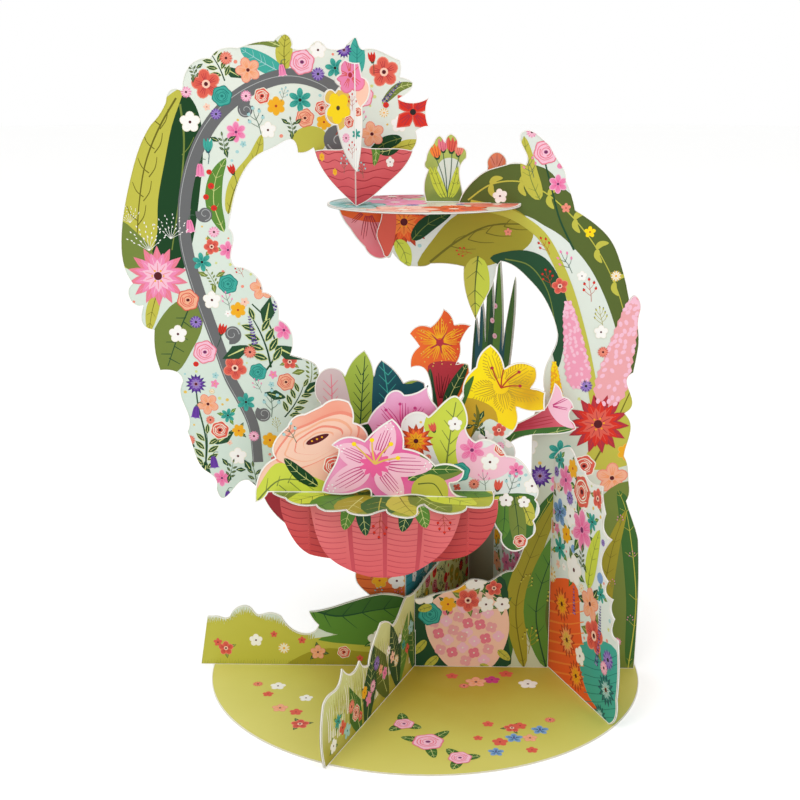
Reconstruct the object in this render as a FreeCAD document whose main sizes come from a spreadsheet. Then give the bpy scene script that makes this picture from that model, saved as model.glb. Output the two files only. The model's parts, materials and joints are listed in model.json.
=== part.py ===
import FreeCAD, Part
import math
import os
import Sketcher

# Free-standing pop-up card: a half-round base, a flower arch, a wreath, a hanging basket and
# a small round top plate, all of die-cut printed card.
# Millimetres. +X right, +Y back, +Z up. Origin: centre of the base's round edge, on the
# underside, below the main standing panel.

Vector = FreeCAD.Vector
doc = FreeCAD.newDocument("PopUpCard")

# Driving dimensions: alias, value, meaning.
DIMENSIONS = [
    ("card_thickness", 0.4, "thickness of every sheet"),
    ("seat_gap", 0.1, "gap between an edge and the sheet that it is glued to"),
    ("slot_gap", 0.12, "play on each side of a sheet in its slot"),
    ("base_radius", 80, "half-round front edge of the base"),
    ("base_back", 8, "base's straight edge, behind the back panel"),
    ("base_margin", 10, "reach of the base's tongue past the fins' rear ends"),
    ("base_corner", 6, "rounding of the base's corners"),
    ("garden_x", 2, "the standing sheets' zero line, right of the base's centre"),
    ("collar_height", 75, "mid-height of the leaf collar round the basket's rim"),
    ("platform_height", 174.5, "mid-height of the round top plate"),
    ("crown_height", 231.5, "highest leaf tip of the wreath"),
    ("platform_radius", 33.6, "round top plate"),
    ("platform_x", -3, "its centre, left of the base's centre"),
    ("platform_slit_x", 20, "where the top plate's slit meets the arch's slit"),
    ("arch_slit_left", -25, "open end of the arch's slit, past the arch's left end"),
    ("left_cross_x", -6, "where the left fin crosses the back panel"),
    ("left_fin_turn", 250, "heading of the left fin's front end, degrees from +X"),
    ("left_fin_back", 63.5, "length of the left fin behind the panel"),
    ("left_slot_height", 15, "where the left fin's two slots meet"),
    ("right_cross_x", 45, "where the right fin crosses the back panel"),
    ("right_fin_turn", -69, "heading of the right fin's front end, degrees from +X"),
    ("right_fin_back", 52.5, "length of the right fin behind the panel"),
    ("right_slot_height", 60, "where the right fin's two slots meet"),
    ("wreath_plane", 4, "depth of the wreath behind the back panel"),
    ("wreath_foot_left", -40, "where the wreath's foot on the top plate starts"),
    ("wreath_foot_right", -10, "where that foot ends"),
    ("basket_x", -17, "middle of the hanging basket, across"),
    ("basket_y", -24, "middle of the hanging basket, in depth"),
    ("basket_turn", -6, "turn of the basket's faces, degrees"),
    ("bowl_face_depth", 6, "bowl's front face, in front of the basket's middle"),
    ("wing_fold_depth", 5, "how far the bowl's side flaps fold back"),
    ("pot_depth", 38, "run of the pot's side face, backwards"),
    ("pot_drop", 13, "pot's upper edge, below the collar"),
    ("cone_fold_depth", 16.5, "how far the small basket's fold stands in front of the wreath"),
    ("lily_plane", -23, "depth of the pink lily"),
    ("peach_plane", -19, "depth of the peach bloom"),
    ("spray_plane", -16, "depth of the blossom spray"),
    ("mallow_plane", -13, "depth of the rose mallow"),
    ("yellow_plane", -10, "depth of the yellow lily"),
    ("bugle_plane", -6, "depth of the pink trumpet"),
    ("orange_plane", -3.5, "depth of the orange trumpet"),
    ("leaves_plane", -1, "depth of the rear leaves"),
    ("tulip_plane", 4, "depth of the tulip tuft on the top plate"),
    ("small_tuft_plane", 12, "depth of the small tuft on the top plate"),
]

sizes = doc.addObject("Spreadsheet::Sheet", "Sizes")
for row, (alias, value, meaning) in enumerate(DIMENSIONS, start=1):
    sizes.set("A%d" % row, meaning)
    sizes.set("B%d" % row, str(value))
    sizes.setAlias("B%d" % row, alias)
doc.recompute()


def size(alias):
    """Value of one driving dimension."""
    return float(getattr(sizes, alias))


card = size("card_thickness")
half = card / 2
seat = half + size("seat_gap")
base_top = card + size("seat_gap")
collar_top = size("collar_height") + seat
collar_under = size("collar_height") - seat
plate_top = size("platform_height") + seat
plate_under = size("platform_height") - seat

# Heights on the two tall sheets are given in storeys: 0 the base, 1 the collar,
# 2 the top plate, 3 the crown.
STOREYS = (base_top, size("collar_height"), size("platform_height"), size("crown_height"))


def storey(level):
    """Height in millimetres of a level given in storeys."""
    floor = min(int(level), 2)
    low, high = STOREYS[floor], STOREYS[floor + 1]
    return low + (level - floor) * (high - low)


def in_storeys(runs):
    """Outline whose heights are storeys, in millimetres."""
    return [[(x, storey(level)) for x, level in run] for run in runs]


def raised(runs, height):
    """Outline lifted by a height."""
    return [[(x, y + height) for x, y in run] for run in runs]


def heading(degrees):
    """Unit vector on the ground for a heading from +X."""
    angle = math.radians(degrees)
    return Vector(math.cos(angle), math.sin(angle), 0)


def origin_plane(body, role):
    """One of a body's own origin planes."""
    return [f for f in body.Origin.OriginFeatures if f.Role == role][0]


def new_sketch(body, name, role):
    """Sketch on one of the body's own planes."""
    sketch = body.newObject("Sketcher::SketchObject", name)
    sketch.AttachmentSupport = [(origin_plane(body, role), "")]
    sketch.MapMode = "FlatFace"
    return sketch


def draw_outline(sketch, runs):
    """Closed outline. Each run is a smooth curve from the last run's end, or a straight edge."""
    start = runs[-1][-1]
    for run in runs:
        points = [start] if run[0] != start else []
        points = [Vector(x, y, 0) for x, y in points + run]
        if len(points) == 2:
            sketch.addGeometry(Part.LineSegment(points[0], points[1]), False)
        else:
            curve = Part.BSplineCurve()
            curve.interpolate(points)
            sketch.addGeometry(curve, False)
        start = run[-1]


def draw_box(sketch, left, right, low, high, width=None):
    """Rectangle with its corners joined; its width can be bound to a dimension."""
    corners = [(left, low), (right, low), (right, high), (left, high)]
    corners = [Vector(x, y, 0) for x, y in corners]
    for here, there in zip(corners, corners[1:] + corners[:1]):
        sketch.addGeometry(Part.LineSegment(here, there), False)
    for line in range(4):
        sketch.addConstraint(Sketcher.Constraint("Coincident", line, 2, (line + 1) % 4, 1))
    for line, way in enumerate(("Horizontal", "Vertical", "Horizontal", "Vertical")):
        sketch.addConstraint(Sketcher.Constraint(way, line))
    if width:
        index = sketch.addConstraint(Sketcher.Constraint("DistanceX", 0, 1, 0, 2, right - left))
        sketch.setExpression("Constraints[%d]" % index, width)


def sheet_body(name, runs, role="XZ_Plane"):
    """Flat sheet of card with a die-cut outline, its mid-plane on the body's plane."""
    body = doc.addObject("PartDesign::Body", name)
    sketch = new_sketch(body, name + "_outline", role)
    draw_outline(sketch, runs)
    pad = body.newObject("PartDesign::Pad", name + "_sheet")
    pad.Profile = sketch
    pad.SideType = "Symmetric"
    pad.setExpression("Length", "Sizes.card_thickness")
    return body


def cut_box(body, name, left, right, low, high, role="XZ_Plane", width=None):
    """Rectangular slot through a sheet."""
    sketch = new_sketch(body, name + "_outline", role)
    draw_box(sketch, left, right, low, high, width)
    pocket = body.newObject("PartDesign::Pocket", name)
    pocket.Profile = sketch
    pocket.SideType = "Symmetric"
    pocket.setExpression("Length", "4 * Sizes.card_thickness")


def place(piece, across, depth, turn=0.0, height=None):
    """Put a piece in the card's frame, measured from the standing sheets' zero line."""
    piece.Placement = FreeCAD.Placement(Vector(0, 0, 0), FreeCAD.Rotation(Vector(0, 0, 1), turn))
    piece.setExpression(".Placement.Base.x", across + " + Sizes.garden_x")
    piece.setExpression(".Placement.Base.y", depth)
    if height:
        piece.setExpression(".Placement.Base.z", height)


def crossing_width(turn):
    """Width of a slot for a sheet that crosses at an angle."""
    angle = math.radians(turn)
    lean = (1 + abs(math.cos(angle))) / abs(math.sin(angle))
    return card * lean + 2 * size("slot_gap")


def folded_sheet(name, plan, runs):
    """Sheet folded along upright creases: the plan line's band, trimmed to the outline."""
    low = min(y for run in runs for x, y in run) - 1
    high = max(y for run in runs for x, y in run) + 1
    line = [Vector(x, y, 0) for x, y in plan]
    sides = []
    for way in (half, -half):
        side = []
        for index, point in enumerate(line):
            before = (point - line[index - 1]).normalize() if index else None
            after = (line[index + 1] - point).normalize() if index < len(line) - 1 else None
            before = before or after
            after = after or before
            middle = (before + after).normalize()
            normal = Vector(-middle.y, middle.x, 0)
            reach = way / normal.dot(Vector(-after.y, after.x, 0))
            side.append(point + normal * reach + Vector(0, 0, low))
        sides.append(side)
    ring = sides[0] + sides[1][::-1]
    band = doc.addObject("Part::Feature", name + "_band")
    band.Shape = Part.Face(Part.makePolygon(ring + ring[:1])).extrude(Vector(0, 0, high - low))
    outline = doc.addObject("Sketcher::SketchObject", name + "_outline")
    draw_outline(outline, runs)
    near = min(y for x, y in plan) - 2 * card
    far = max(y for x, y in plan) + 2 * card
    outline.Placement = FreeCAD.Placement(Vector(0, far, 0),
                                          FreeCAD.Rotation(Vector(1, 0, 0), 90))
    trim = doc.addObject("Part::Extrusion", name + "_trim")
    trim.Base = outline
    trim.DirMode = "Custom"
    trim.Dir = Vector(0, -1, 0)
    trim.LengthFwd = far - near
    trim.Solid = True
    piece = doc.addObject("Part::Common", name)
    piece.Base = band
    piece.Tool = trim
    return piece


# Where the two fins cross the back panel, and their rear ends behind it.
left_fin_turn = size("left_fin_turn")
right_fin_turn = size("right_fin_turn")
left_back = size("left_fin_back")
right_back = size("right_fin_back")
left_cross = Vector(size("left_cross_x") + size("garden_x"), 0, 0)
right_cross = Vector(size("right_cross_x") + size("garden_x"), 0, 0)
left_end = left_cross - heading(left_fin_turn) * left_back
right_end = right_cross - heading(right_fin_turn) * right_back

# Base: half round in front of the back panel, with a straight edge just behind it and a
# tongue that carries the fins' rear ends.
base_radius = size("base_radius")
base_back = size("base_back")
arc_end = math.asin(base_back / base_radius)
tongue = []
for end, turn, side in ((right_end, right_fin_turn, -1), (left_end, left_fin_turn, 1)):
    back = heading(turn) * -1
    corner = end + (back + Vector(-back.y, back.x, 0) * side) * size("base_margin")
    root = corner - back * ((corner.y - base_back) / back.y)
    tongue += [root, corner] if side < 0 else [corner, root]
base = doc.addObject("PartDesign::Body", "base_sheet")
base_sketch = new_sketch(base, "base_sheet_outline", "XY_Plane")
round_edge = Part.Circle(Vector(0, 0, 0), Vector(0, 0, 1), base_radius)
base_sketch.addGeometry(Part.ArcOfCircle(round_edge, math.pi - arc_end, math.tau + arc_end), False)
base_sketch.addConstraint(Sketcher.Constraint("Coincident", 0, 3, -1, 1))
rim = base_sketch.addConstraint(Sketcher.Constraint("Radius", 0, base_radius))
base_sketch.setExpression("Constraints[%d]" % rim, "Sizes.base_radius")
reach = base_radius * math.cos(arc_end)
back_edge = [Vector(reach, base_back, 0)] + tongue + [Vector(-reach, base_back, 0)]
for here, there in zip(back_edge, back_edge[1:]):
    base_sketch.addGeometry(Part.LineSegment(here, there), False)
base_pad = base.newObject("PartDesign::Pad", "base_sheet_card")
base_pad.Profile = base_sketch
base_pad.setExpression("Length", "Sizes.card_thickness")
doc.recompute()
corners = ["Edge%d" % number for number, edge in enumerate(base_pad.Shape.Edges, start=1)
           if abs(edge.Vertexes[0].Z - edge.Vertexes[-1].Z) > half]
base_rounding = base.newObject("PartDesign::Fillet", "base_sheet_corners")
base_rounding.Base = (base_pad, corners)
base_rounding.setExpression("Radius", "Sizes.base_corner")

# Main standing panel: low hedge at the left, a big leaf, the pot's flowers, the stem at the
# right and the arch that runs over to the top plate. Heights in storeys.
back_outline = in_storeys([
    [(77, 0), (-87, 0)],
    [(-85.5, 0.13), (-84, 0.26)],
    [(-82, 0.26), (-80, 0.26), (-77.5, 0.25), (-75.5, 0.26)],
    [(-73.5, 0.3), (-70, 0.32), (-66.5, 0.29)],
    [(-64, 0.27), (-61.5, 0.28), (-59, 0.28), (-56, 0.26)],
    [(-53.5, 0.21), (-50.5, 0.18), (-45.5, 0.17), (-42, 0.22)],
    [(-44, 0.25), (-45.5, 0.29)],
    [(-38, 0.31), (-31.5, 0.34), (-22, 0.38), (-14.5, 0.39), (-8.5, 0.37), (-2.5, 0.37)],
    [(4, 0.4), (11, 0.43), (15, 0.47), (18.5, 0.47), (21.5, 0.46)],
    [(24, 0.48), (26, 0.5), (30.5, 0.52)],
    [(33, 0.59), (34, 0.63), (35.5, 0.68)],
    [(36.5, 0.89), (36.5, 1.11), (37.5, 1.26), (40.5, 1.33)],
    [(40, 1.37), (41, 1.43), (44, 1.5), (44.5, 1.54)],
    [(43.5, 1.58), (41.5, 1.63), (38, 1.69), (33.5, 1.74), (29, 1.78), (24, 1.8)],
    [(22.5, 1.78)],
    [(20.5, 1.7), (17.5, 1.64), (15.5, 1.59)],
    [(12.5, 1.66), (11, 1.73), (11, 1.78)],
    [(5, 1.79), (-0.5, 1.79)],
    [(-3, 1.78), (-5.5, 1.78), (-8.5, 1.78)],
    [(-11.5, 1.8), (-14, 1.83)],
    [(-15, 1.81), (-17, 1.82)],
    [(-18.5, 1.86), (-19.5, 1.89), (-18.5, 1.93), (-19, 2)],
    [(9, 2)],
    [(10, 2.05), (14.5, 2.15), (18.5, 2.2), (24, 2.23), (28.5, 2.25), (32, 2.235)],
    [(32.5, 2.27), (30.5, 2.35), (30, 2.42)],
    [(32, 2.44), (34.5, 2.43), (37.5, 2.39), (40, 2.35), (42, 2.29), (44.5, 2.23), (46, 2.14)],
    [(48, 2.06), (49.5, 1.98)],
    [(57, 1.93), (62, 1.88), (66.5, 1.78), (68, 1.73), (69.5, 1.66)],
    [(71.5, 1.68), (73.5, 1.65), (73, 1.6), (73.5, 1.52), (73, 1.46), (72, 1.4)],
    [(70, 1.38), (71.5, 1.32), (69.5, 1.25)],
    [(72, 1.2), (71, 1.14), (70, 1.09)],
    [(71.5, 1.05), (72, 1), (72.5, 0.94), (71.5, 0.89)],
    [(72.5, 0.85), (75, 0.76), (76.5, 0.69)],
    [(77, 0.59), (77.5, 0.31), (77, 0)],
])
back_panel = sheet_body("back_panel", back_outline)
for side, cross, turn in (("left", "left_cross_x", left_fin_turn),
                          ("right", "right_cross_x", right_fin_turn)):
    middle = size(cross)
    reach = crossing_width(turn) / 2
    cut_box(back_panel, "back_panel_%s_slot" % side, middle - reach, middle + reach,
            -1, size(side + "_slot_height") + size("slot_gap"))
cut_box(back_panel, "back_panel_platform_slit", size("arch_slit_left"), size("platform_slit_x"),
        size("platform_height") - half - size("slot_gap"),
        size("platform_height") + half + size("slot_gap"))
place(back_panel, "0", "0")

# Left fin: grassy sheet that crosses the panel and runs back to the spine.
left_outline = [
    [(-left_back, base_top)],
    [(81.5, base_top)],
    [(84, 14), (82, 23)],
    [(77.5, 24.5), (72, 24), (67, 29)],
    [(63, 25.5), (60, 24)],
    [(55, 24), (52.5, 25.5)],
    [(50.5, 23), (44.5, 20.5)],
    [(42.5, 24.5), (38, 28.5), (33.5, 31.5)],
    [(28, 30), (22.5, 26)],
    [(17.5, 27), (13.5, 29.5), (8.5, 32)],
    [(-4, 30.5), (-15, 32), (-30, 33), (-45, 38), (-left_back, 46)],
]
left_fin = sheet_body("left_fin", left_outline)
left_reach = crossing_width(left_fin_turn) / 2
cut_box(left_fin, "left_fin_slot", -left_reach, left_reach,
        size("left_slot_height") - size("slot_gap"), 2 * size("left_slot_height") + 10)
place(left_fin, "Sizes.left_cross_x", "0", left_fin_turn)

# Right fin: tall sheet of flowers with wavy leaf edges.
right_outline = [
    [(-right_back, base_top)],
    [(48, base_top)],
    [(51.5, 4), (52, 11.5)],
    [(52.5, 23), (51, 33)],
    [(47, 33.5), (48, 39.5)],
    [(45.5, 41.5), (46.5, 46)],
    [(41, 47), (42.5, 51)],
    [(38.5, 53), (44, 66.5)],
    [(38, 68.5), (39, 74)],
    [(37, 78), (36.5, 83)],
    [(31, 82), (26.5, 82), (23, 84.5)],
    [(19, 85), (15.5, 88), (11, 90)],
    [(3, 86), (-4, 78), (-14, 62), (-25, 56), (-40, 54), (-right_back, 50)],
]
right_fin = sheet_body("right_fin", right_outline)
right_reach = crossing_width(right_fin_turn) / 2
cut_box(right_fin, "right_fin_slot", -right_reach, right_reach,
        size("right_slot_height") - size("slot_gap"), 2 * size("right_slot_height"))
place(right_fin, "Sizes.right_cross_x", "0", right_fin_turn)

# Rear spine: strip that closes the two fins behind the panel, with tall blades above.
spine_way = (right_end - left_end).normalize()
spine_width = (right_end - left_end).Length
spine_out = Vector(-spine_way.y, spine_way.x, 0)
spine_start = left_end + spine_out * (card + size("seat_gap"))
spine_turn = math.degrees(math.atan2(spine_way.y, spine_way.x))
spine_outline = in_storeys([
    [(-1.5, 0), (spine_width + 1.5, 0)],
    [(spine_width + 1.5, 0.6)],
    [(17, 1), (20.5, 1.3), (22.8, 1.5), (23, 1.68)],
    [(20.5, 1.58), (17, 1.38)],
    [(16.5, 1.6), (14.7, 1.76)],
    [(12.8, 1.62), (12.2, 1.45)],
    [(11.5, 1.62), (9.8, 1.75)],
    [(8.2, 1.58), (7.9, 1.4)],
    [(7, 1.5), (5.5, 1.58)],
    [(4.6, 1.48), (4.5, 1.36)],
    [(3.8, 1.44), (2.4, 1.5)],
    [(0.8, 1.36), (0, 1.1), (-1.5, 0.6)],
    [(-1.5, 0)],
])
rear_spine = sheet_body("rear_spine", spine_outline)
rear_spine.Placement = FreeCAD.Placement(spine_start,
                                         FreeCAD.Rotation(Vector(0, 0, 1), spine_turn))

# Wreath: the C-shaped flower ring, the sheet behind the small basket at its upper end and
# the back of the hanging basket at its lower end. Heights in storeys.
wreath_outline = in_storeys([
    [(-26, 2), (-33, 2.1), (-37.5, 2.2), (-41.5, 2.33)],
    [(-45, 2.3), (-47, 2.3)],
    [(-49.5, 2.38), (-54.5, 2.34), (-60.5, 2.29), (-65.5, 2.2), (-69, 2.07), (-72, 1.91)],
    [(-70.5, 1.86), (-71.5, 1.81), (-70, 1.77)],
    [(-68, 1.77), (-65.5, 1.76), (-62, 1.73), (-60.5, 1.68)],
    [(-57.5, 1.67), (-55.5, 1.64), (-55, 1.58)],
    [(-52, 1.56), (-50, 1.51), (-51, 1.45)],
    [(-47, 1.44), (-42.5, 1.42), (-41, 1.36)],
    [(-40, 1.3), (-36, 1.15), (-30, 1.06)],
    [(0, 1.05), (19, 1.02)],
    [(20, 0.86), (13, 0.7), (0, 0.6), (-17, 0.57), (-35, 0.6), (-49, 0.69), (-56, 0.76),
     (-61.5, 0.86)],
    [(-64, 0.92), (-67.5, 0.965)],
    [(-70, 0.96), (-73, 0.92), (-77, 0.87), (-79.5, 0.92)],
    [(-81, 0.99), (-83.5, 1.01), (-87.5, 1.09), (-89.5, 1.16)],
    [(-89.5, 1.24), (-91, 1.28), (-90.5, 1.35)],
    [(-92, 1.38), (-94.5, 1.39), (-98.5, 1.39)],
    [(-100, 1.45), (-100, 1.54)],
    [(-103, 1.55), (-103.5, 1.63)],
    [(-106, 1.63), (-108.5, 1.66), (-107, 1.71)],
    [(-109.5, 1.76), (-110.5, 1.84), (-109.5, 1.94)],
    [(-108, 2.02), (-105.5, 2.18), (-102.5, 2.33), (-98, 2.47)],
    [(-94.5, 2.54), (-92.5, 2.6)],
    [(-90, 2.68), (-86.5, 2.67)],
    [(-86, 2.74), (-84, 2.81), (-76.5, 2.86)],
    [(-74.5, 2.9), (-71.5, 2.92), (-67, 2.92)],
    [(-61.5, 2.95), (-58, 2.96), (-54.5, 2.96)],
    [(-53.5, 2.98), (-50.5, 3), (-48.5, 2.97), (-48.5, 2.92)],
    [(-45.5, 2.91), (-42.5, 2.92)],
    [(-39.5, 2.96), (-36.5, 2.92)],
    [(-33, 2.91), (-30.5, 2.92)],
    [(-28.5, 2.96), (-26.5, 2.98), (-25.5, 2.94), (-24, 2.91)],
    [(-19.5, 2.91), (-15.5, 2.88), (-11.5, 2.85)],
    [(-11, 2.8), (-11.5, 2.75)],
    [(-9, 2.74), (-7, 2.72)],
    [(-7.5, 2.68), (-10, 2.64), (-12, 2.62)],
    [(-6.5, 2.6), (-1.5, 2.63)],
    [(-2.5, 2.55), (-1.5, 2.46)],
    [(-4, 2.45), (-6, 2.43)],
    [(-5.5, 2.38), (-7, 2.32)],
    [(-11, 2.2), (-18, 2.1), (-26, 2)],
])
ring_panel = sheet_body("ring_panel", wreath_outline)
cut_box(ring_panel, "ring_panel_foot", size("wreath_foot_left"), size("wreath_foot_right"),
        plate_top - 2 * seat, plate_top)
place(ring_panel, "0", "Sizes.wreath_plane")

# Pot under the basket: one sheet folded once, its front face glued behind the wreath's
# lower end and its side face parallel to the left fin.
pot_plane = size("wreath_plane") + card + size("seat_gap")
pot_corner = size("left_cross_x") - 3.5
pot_side = heading(left_fin_turn) * -size("pot_depth")
pot_top = size("collar_height") - size("pot_drop")
pot_outline = [
    [(pot_corner + 1, base_top), (-17, base_top)],
    [(-18, 14), (-20, 24), (-24, 28), (-27, 31), (-28, 37)],
    [(-28.5, 50), (-28, pot_top)],
    [(pot_corner + 30, pot_top)],
    [(pot_corner + 30, base_top)],
    [(pot_corner + 1, base_top)],
]
pot_pedestal = folded_sheet("pot_pedestal", [
    (-31, pot_plane),
    (pot_corner, pot_plane),
    (pot_corner + pot_side.x, pot_plane + pot_side.y),
], pot_outline)
place(pot_pedestal, "0", "0")

# Bowl of the hanging basket: a front face and, behind it, a sheet whose sides fold back.
bowl_face_outline = raised([
    [(28.2, 0), (-24.5, 0)],
    [(-23, -9), (-18, -20), (-10.7, -24.5), (-4.5, -26.5), (0, -26.8), (4.5, -26.4),
     (10.2, -25), (15.8, -21.8), (22, -16.3), (26.5, -8), (28.2, 0)],
], collar_under)
bowl_front = sheet_body("bowl_front", bowl_face_outline)
face_way = heading(size("basket_turn") - 90)
place(bowl_front,
      "Sizes.basket_x + Sizes.bowl_face_depth * sin(Sizes.basket_turn * 1deg)",
      "Sizes.basket_y - Sizes.bowl_face_depth * cos(Sizes.basket_turn * 1deg)",
      size("basket_turn"))

bowl_wing_outline = raised([
    [(40, 0), (-37, 0)],
    [(-36.6, -8.7), (-33.6, -15.4), (-29.5, -20), (-19, -22.8), (0, -23.7), (21.5, -21.8),
     (32, -18.2), (36.7, -13.7), (39.7, -6.7), (40, 0)],
], collar_under)
bowl_wings = folded_sheet("bowl_wings", [
    (-38, size("wing_fold_depth")),
    (-26, 0),
    (30, 0),
    (41, size("wing_fold_depth")),
], bowl_wing_outline)
place(bowl_wings, "Sizes.basket_x", "Sizes.basket_y", size("basket_turn"))

# Leaf collar: flat plate at the rim, its front edge cut as a row of leaf tips.
collar_back = size("wreath_plane") - seat
collar_outline = [
    [(19.5, collar_back), (-50, collar_back)],
    [(-54.5, -2), (-56.5, -11), (-55.7, -19.5)],
    [(-53.5, -22.5), (-50.7, -25)],
    [(-48, -30), (-44.5, -32.6), (-39.3, -32.3)],
    [(-37.8, -36), (-35.7, -38.5)],
    [(-32, -38.6), (-28.7, -37.4)],
    [(-26.8, -41), (-24.4, -42.4)],
    [(-21.5, -42.6), (-19.3, -41.3)],
    [(-17, -38.5), (-15.1, -37)],
    [(-13.8, -41.5), (-11, -44), (-7.9, -45.1)],
    [(-5, -43), (-4.4, -38), (-2.3, -31)],
    [(-0.5, -35.5), (2.5, -39), (6.8, -40.6)],
    [(10.5, -38.5), (12.4, -33)],
    [(16, -34), (20.2, -32.9)],
    [(21.5, -28), (21.8, -15), (19.5, collar_back)],
]
leaf_collar = sheet_body("leaf_collar", collar_outline, "XY_Plane")
place(leaf_collar, "0", "0", 0.0, "Sizes.collar_height")

# Flowers of the basket: upright sheets one behind another, standing on the collar.
# Heights are measured from the collar's upper side.
FLOWERS = [
    ("pink_lily", "Sizes.lily_plane", [
        [(-11, 0), (-21, 0)],
        [(-21.5, 2.5), (-26, 1.4), (-32, 0.6), (-38, 1.5)],
        [(-36.3, 6.5), (-33.8, 11), (-32, 17)],
        [(-34.5, 18.5)],
        [(-29, 21.5), (-23, 20)],
        [(-18, 25), (-13.5, 28)],
        [(-10.2, 24), (-9.5, 17.5)],
        [(-3, 15.5), (1.5, 11.5)],
        [(6.5, 12), (11.5, 9.5)],
        [(10.5, 6.5), (6.5, 5)],
        [(8, 1.5), (12.5, 0)],
        [(-2, 0)],
        [(-7, 0.6), (-11, 0)],
    ]),
    ("peach_bloom", "Sizes.peach_plane", [
        [(-27, 0), (-57.2, 0)],
        [(-59, -2.5), (-62, -4)],
        [(-61.5, 3), (-58.5, 9.5), (-54.5, 12.5)],
        [(-55.5, 16), (-53, 21), (-50, 24)],
        [(-47.5, 27.5), (-44, 28.5)],
        [(-41, 30), (-38, 31.5)],
        [(-34, 33.8), (-28.5, 33)],
        [(-27, 29.5), (-27, 25.5)],
        [(-24.5, 24.5), (-22, 21)],
        [(-23, 9), (-27, 0)],
    ]),
    ("blossom_spray", "Sizes.spray_plane", [
        [(22.5, 0), (-12, 0)],
        [(-12, 12), (-10.5, 23)],
        [(-9, 27), (-5.5, 28.7), (-1, 27)],
        [(3.5, 31.5), (8.5, 34.5), (11.5, 31), (12, 23)],
        [(13.3, 20), (15.5, 18)],
        [(19.5, 19), (23.5, 17), (26.5, 13)],
        [(30.5, 12), (34.5, 7.5), (38, 0.5)],
        [(37.8, -1.5), (37, -3)],
        [(38.5, -6), (36.5, -11)],
        [(37.2, -15), (34.5, -18)],
        [(33.5, -21), (29.5, -22.5), (26.5, -21), (25, -16)],
        [(22.5, -12), (22.5, 0)],
    ]),
    ("rose_mallow", "Sizes.mallow_plane", [
        [(3, 0), (-27, 0)],
        [(-31, 9), (-34.5, 16.5)],
        [(-31, 20), (-22.5, 24)],
        [(-21, 27), (-16.5, 31.5)],
        [(-15.5, 34), (-13.5, 35.5), (-9.5, 34)],
        [(-5, 35), (-1, 38)],
        [(-0.7, 34), (1.5, 30.5)],
        [(3.5, 26), (3, 20)],
        [(4, 10), (3, 0)],
    ]),
    ("yellow_lily", "Sizes.yellow_plane", [
        [(20.5, 0), (6, 0)],
        [(8, 14), (11, 22)],
        [(9.5, 28), (11, 33)],
        [(11.5, 38.5), (15.5, 43.5)],
        [(17.5, 49), (20.5, 51.5)],
        [(23.8, 48), (25.5, 43)],
        [(31, 45.3), (36.5, 43.5)],
        [(36.8, 39), (35, 36)],
        [(38, 35.5), (40, 34.5)],
        [(39.8, 31), (40, 28)],
        [(35, 27.5), (30, 29)],
        [(30.5, 23), (26, 17.5)],
        [(30, 13), (27, 6), (20.5, 0)],
    ]),
    ("pink_trumpet", "Sizes.bugle_plane", [
        [(19, 0), (9, 0)],
        [(16, 14), (28, 21), (40.5, 28)],
        [(42.3, 32), (43.5, 37)],
        [(45.5, 35), (46.5, 32)],
        [(49, 31), (50.5, 28)],
        [(49, 26), (49.5, 23.5)],
        [(51, 22), (51.5, 20)],
        [(46.5, 18.5), (38, 18), (30, 16), (23, 9), (19, 0)],
    ]),
    ("orange_trumpet", "Sizes.orange_plane", [
        [(6, 0), (-6, 0)],
        [(-3, 14), (0, 25)],
        [(0, 33), (-1.5, 39.5)],
        [(-3.5, 41.8), (-7.5, 41.5)],
        [(-7, 46.5), (-4.5, 49.5)],
        [(-6, 51.5), (-8, 54)],
        [(-5, 56.8), (-0.5, 56.5)],
        [(2, 59), (4, 63)],
        [(6.5, 61), (8, 57.3)],
        [(11, 57.7), (14, 57)],
        [(12, 54.5), (10.2, 50.5)],
        [(10.2, 46.5), (8.7, 43)],
        [(11, 43.5), (13, 43)],
        [(13.3, 38), (10, 31), (6, 26)],
        [(7.5, 13), (6, 0)],
    ]),
    ("rear_leaves", "Sizes.leaves_plane", [
        [(-4, 0), (-31, 0)],
        [(-36, 12), (-40, 28)],
        [(-41.5, 36), (-38, 40.5), (-33.5, 40.5), (-31, 38)],
        [(-28, 44), (-24, 47.5)],
        [(-21.5, 43), (-20.6, 38)],
        [(-19.8, 41.5), (-18, 44)],
        [(-14, 41), (-10, 35.5)],
        [(-6, 36.7), (-2.5, 35.5)],
        [(-1.5, 20), (-4, 0)],
    ]),
]
for name, plane, outline in FLOWERS:
    flower = sheet_body(name, raised(outline, collar_top))
    place(flower, "0", plane)

# Round top plate with the slit that laps the arch's slit.
platform = doc.addObject("PartDesign::Body", "platform")
platform_sketch = new_sketch(platform, "platform_outline", "XY_Plane")
platform_sketch.addGeometry(Part.Circle(Vector(0, 0, 0), Vector(0, 0, 1),
                                        size("platform_radius")), False)
platform_sketch.addConstraint(Sketcher.Constraint("Coincident", 0, 3, -1, 1))
rim = platform_sketch.addConstraint(Sketcher.Constraint("Radius", 0, size("platform_radius")))
platform_sketch.setExpression("Constraints[%d]" % rim, "Sizes.platform_radius")
platform_pad = platform.newObject("PartDesign::Pad", "platform_sheet")
platform_pad.Profile = platform_sketch
platform_pad.SideType = "Symmetric"
platform_pad.setExpression("Length", "Sizes.card_thickness")
slit_from = size("platform_slit_x") - size("platform_x") - size("slot_gap")
cut_box(platform, "platform_slit", slit_from, size("platform_radius") + 5,
        -half - size("slot_gap"), half + size("slot_gap"), "XY_Plane")
place(platform, "Sizes.platform_x", "0", 0.0, "Sizes.platform_height")

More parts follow.
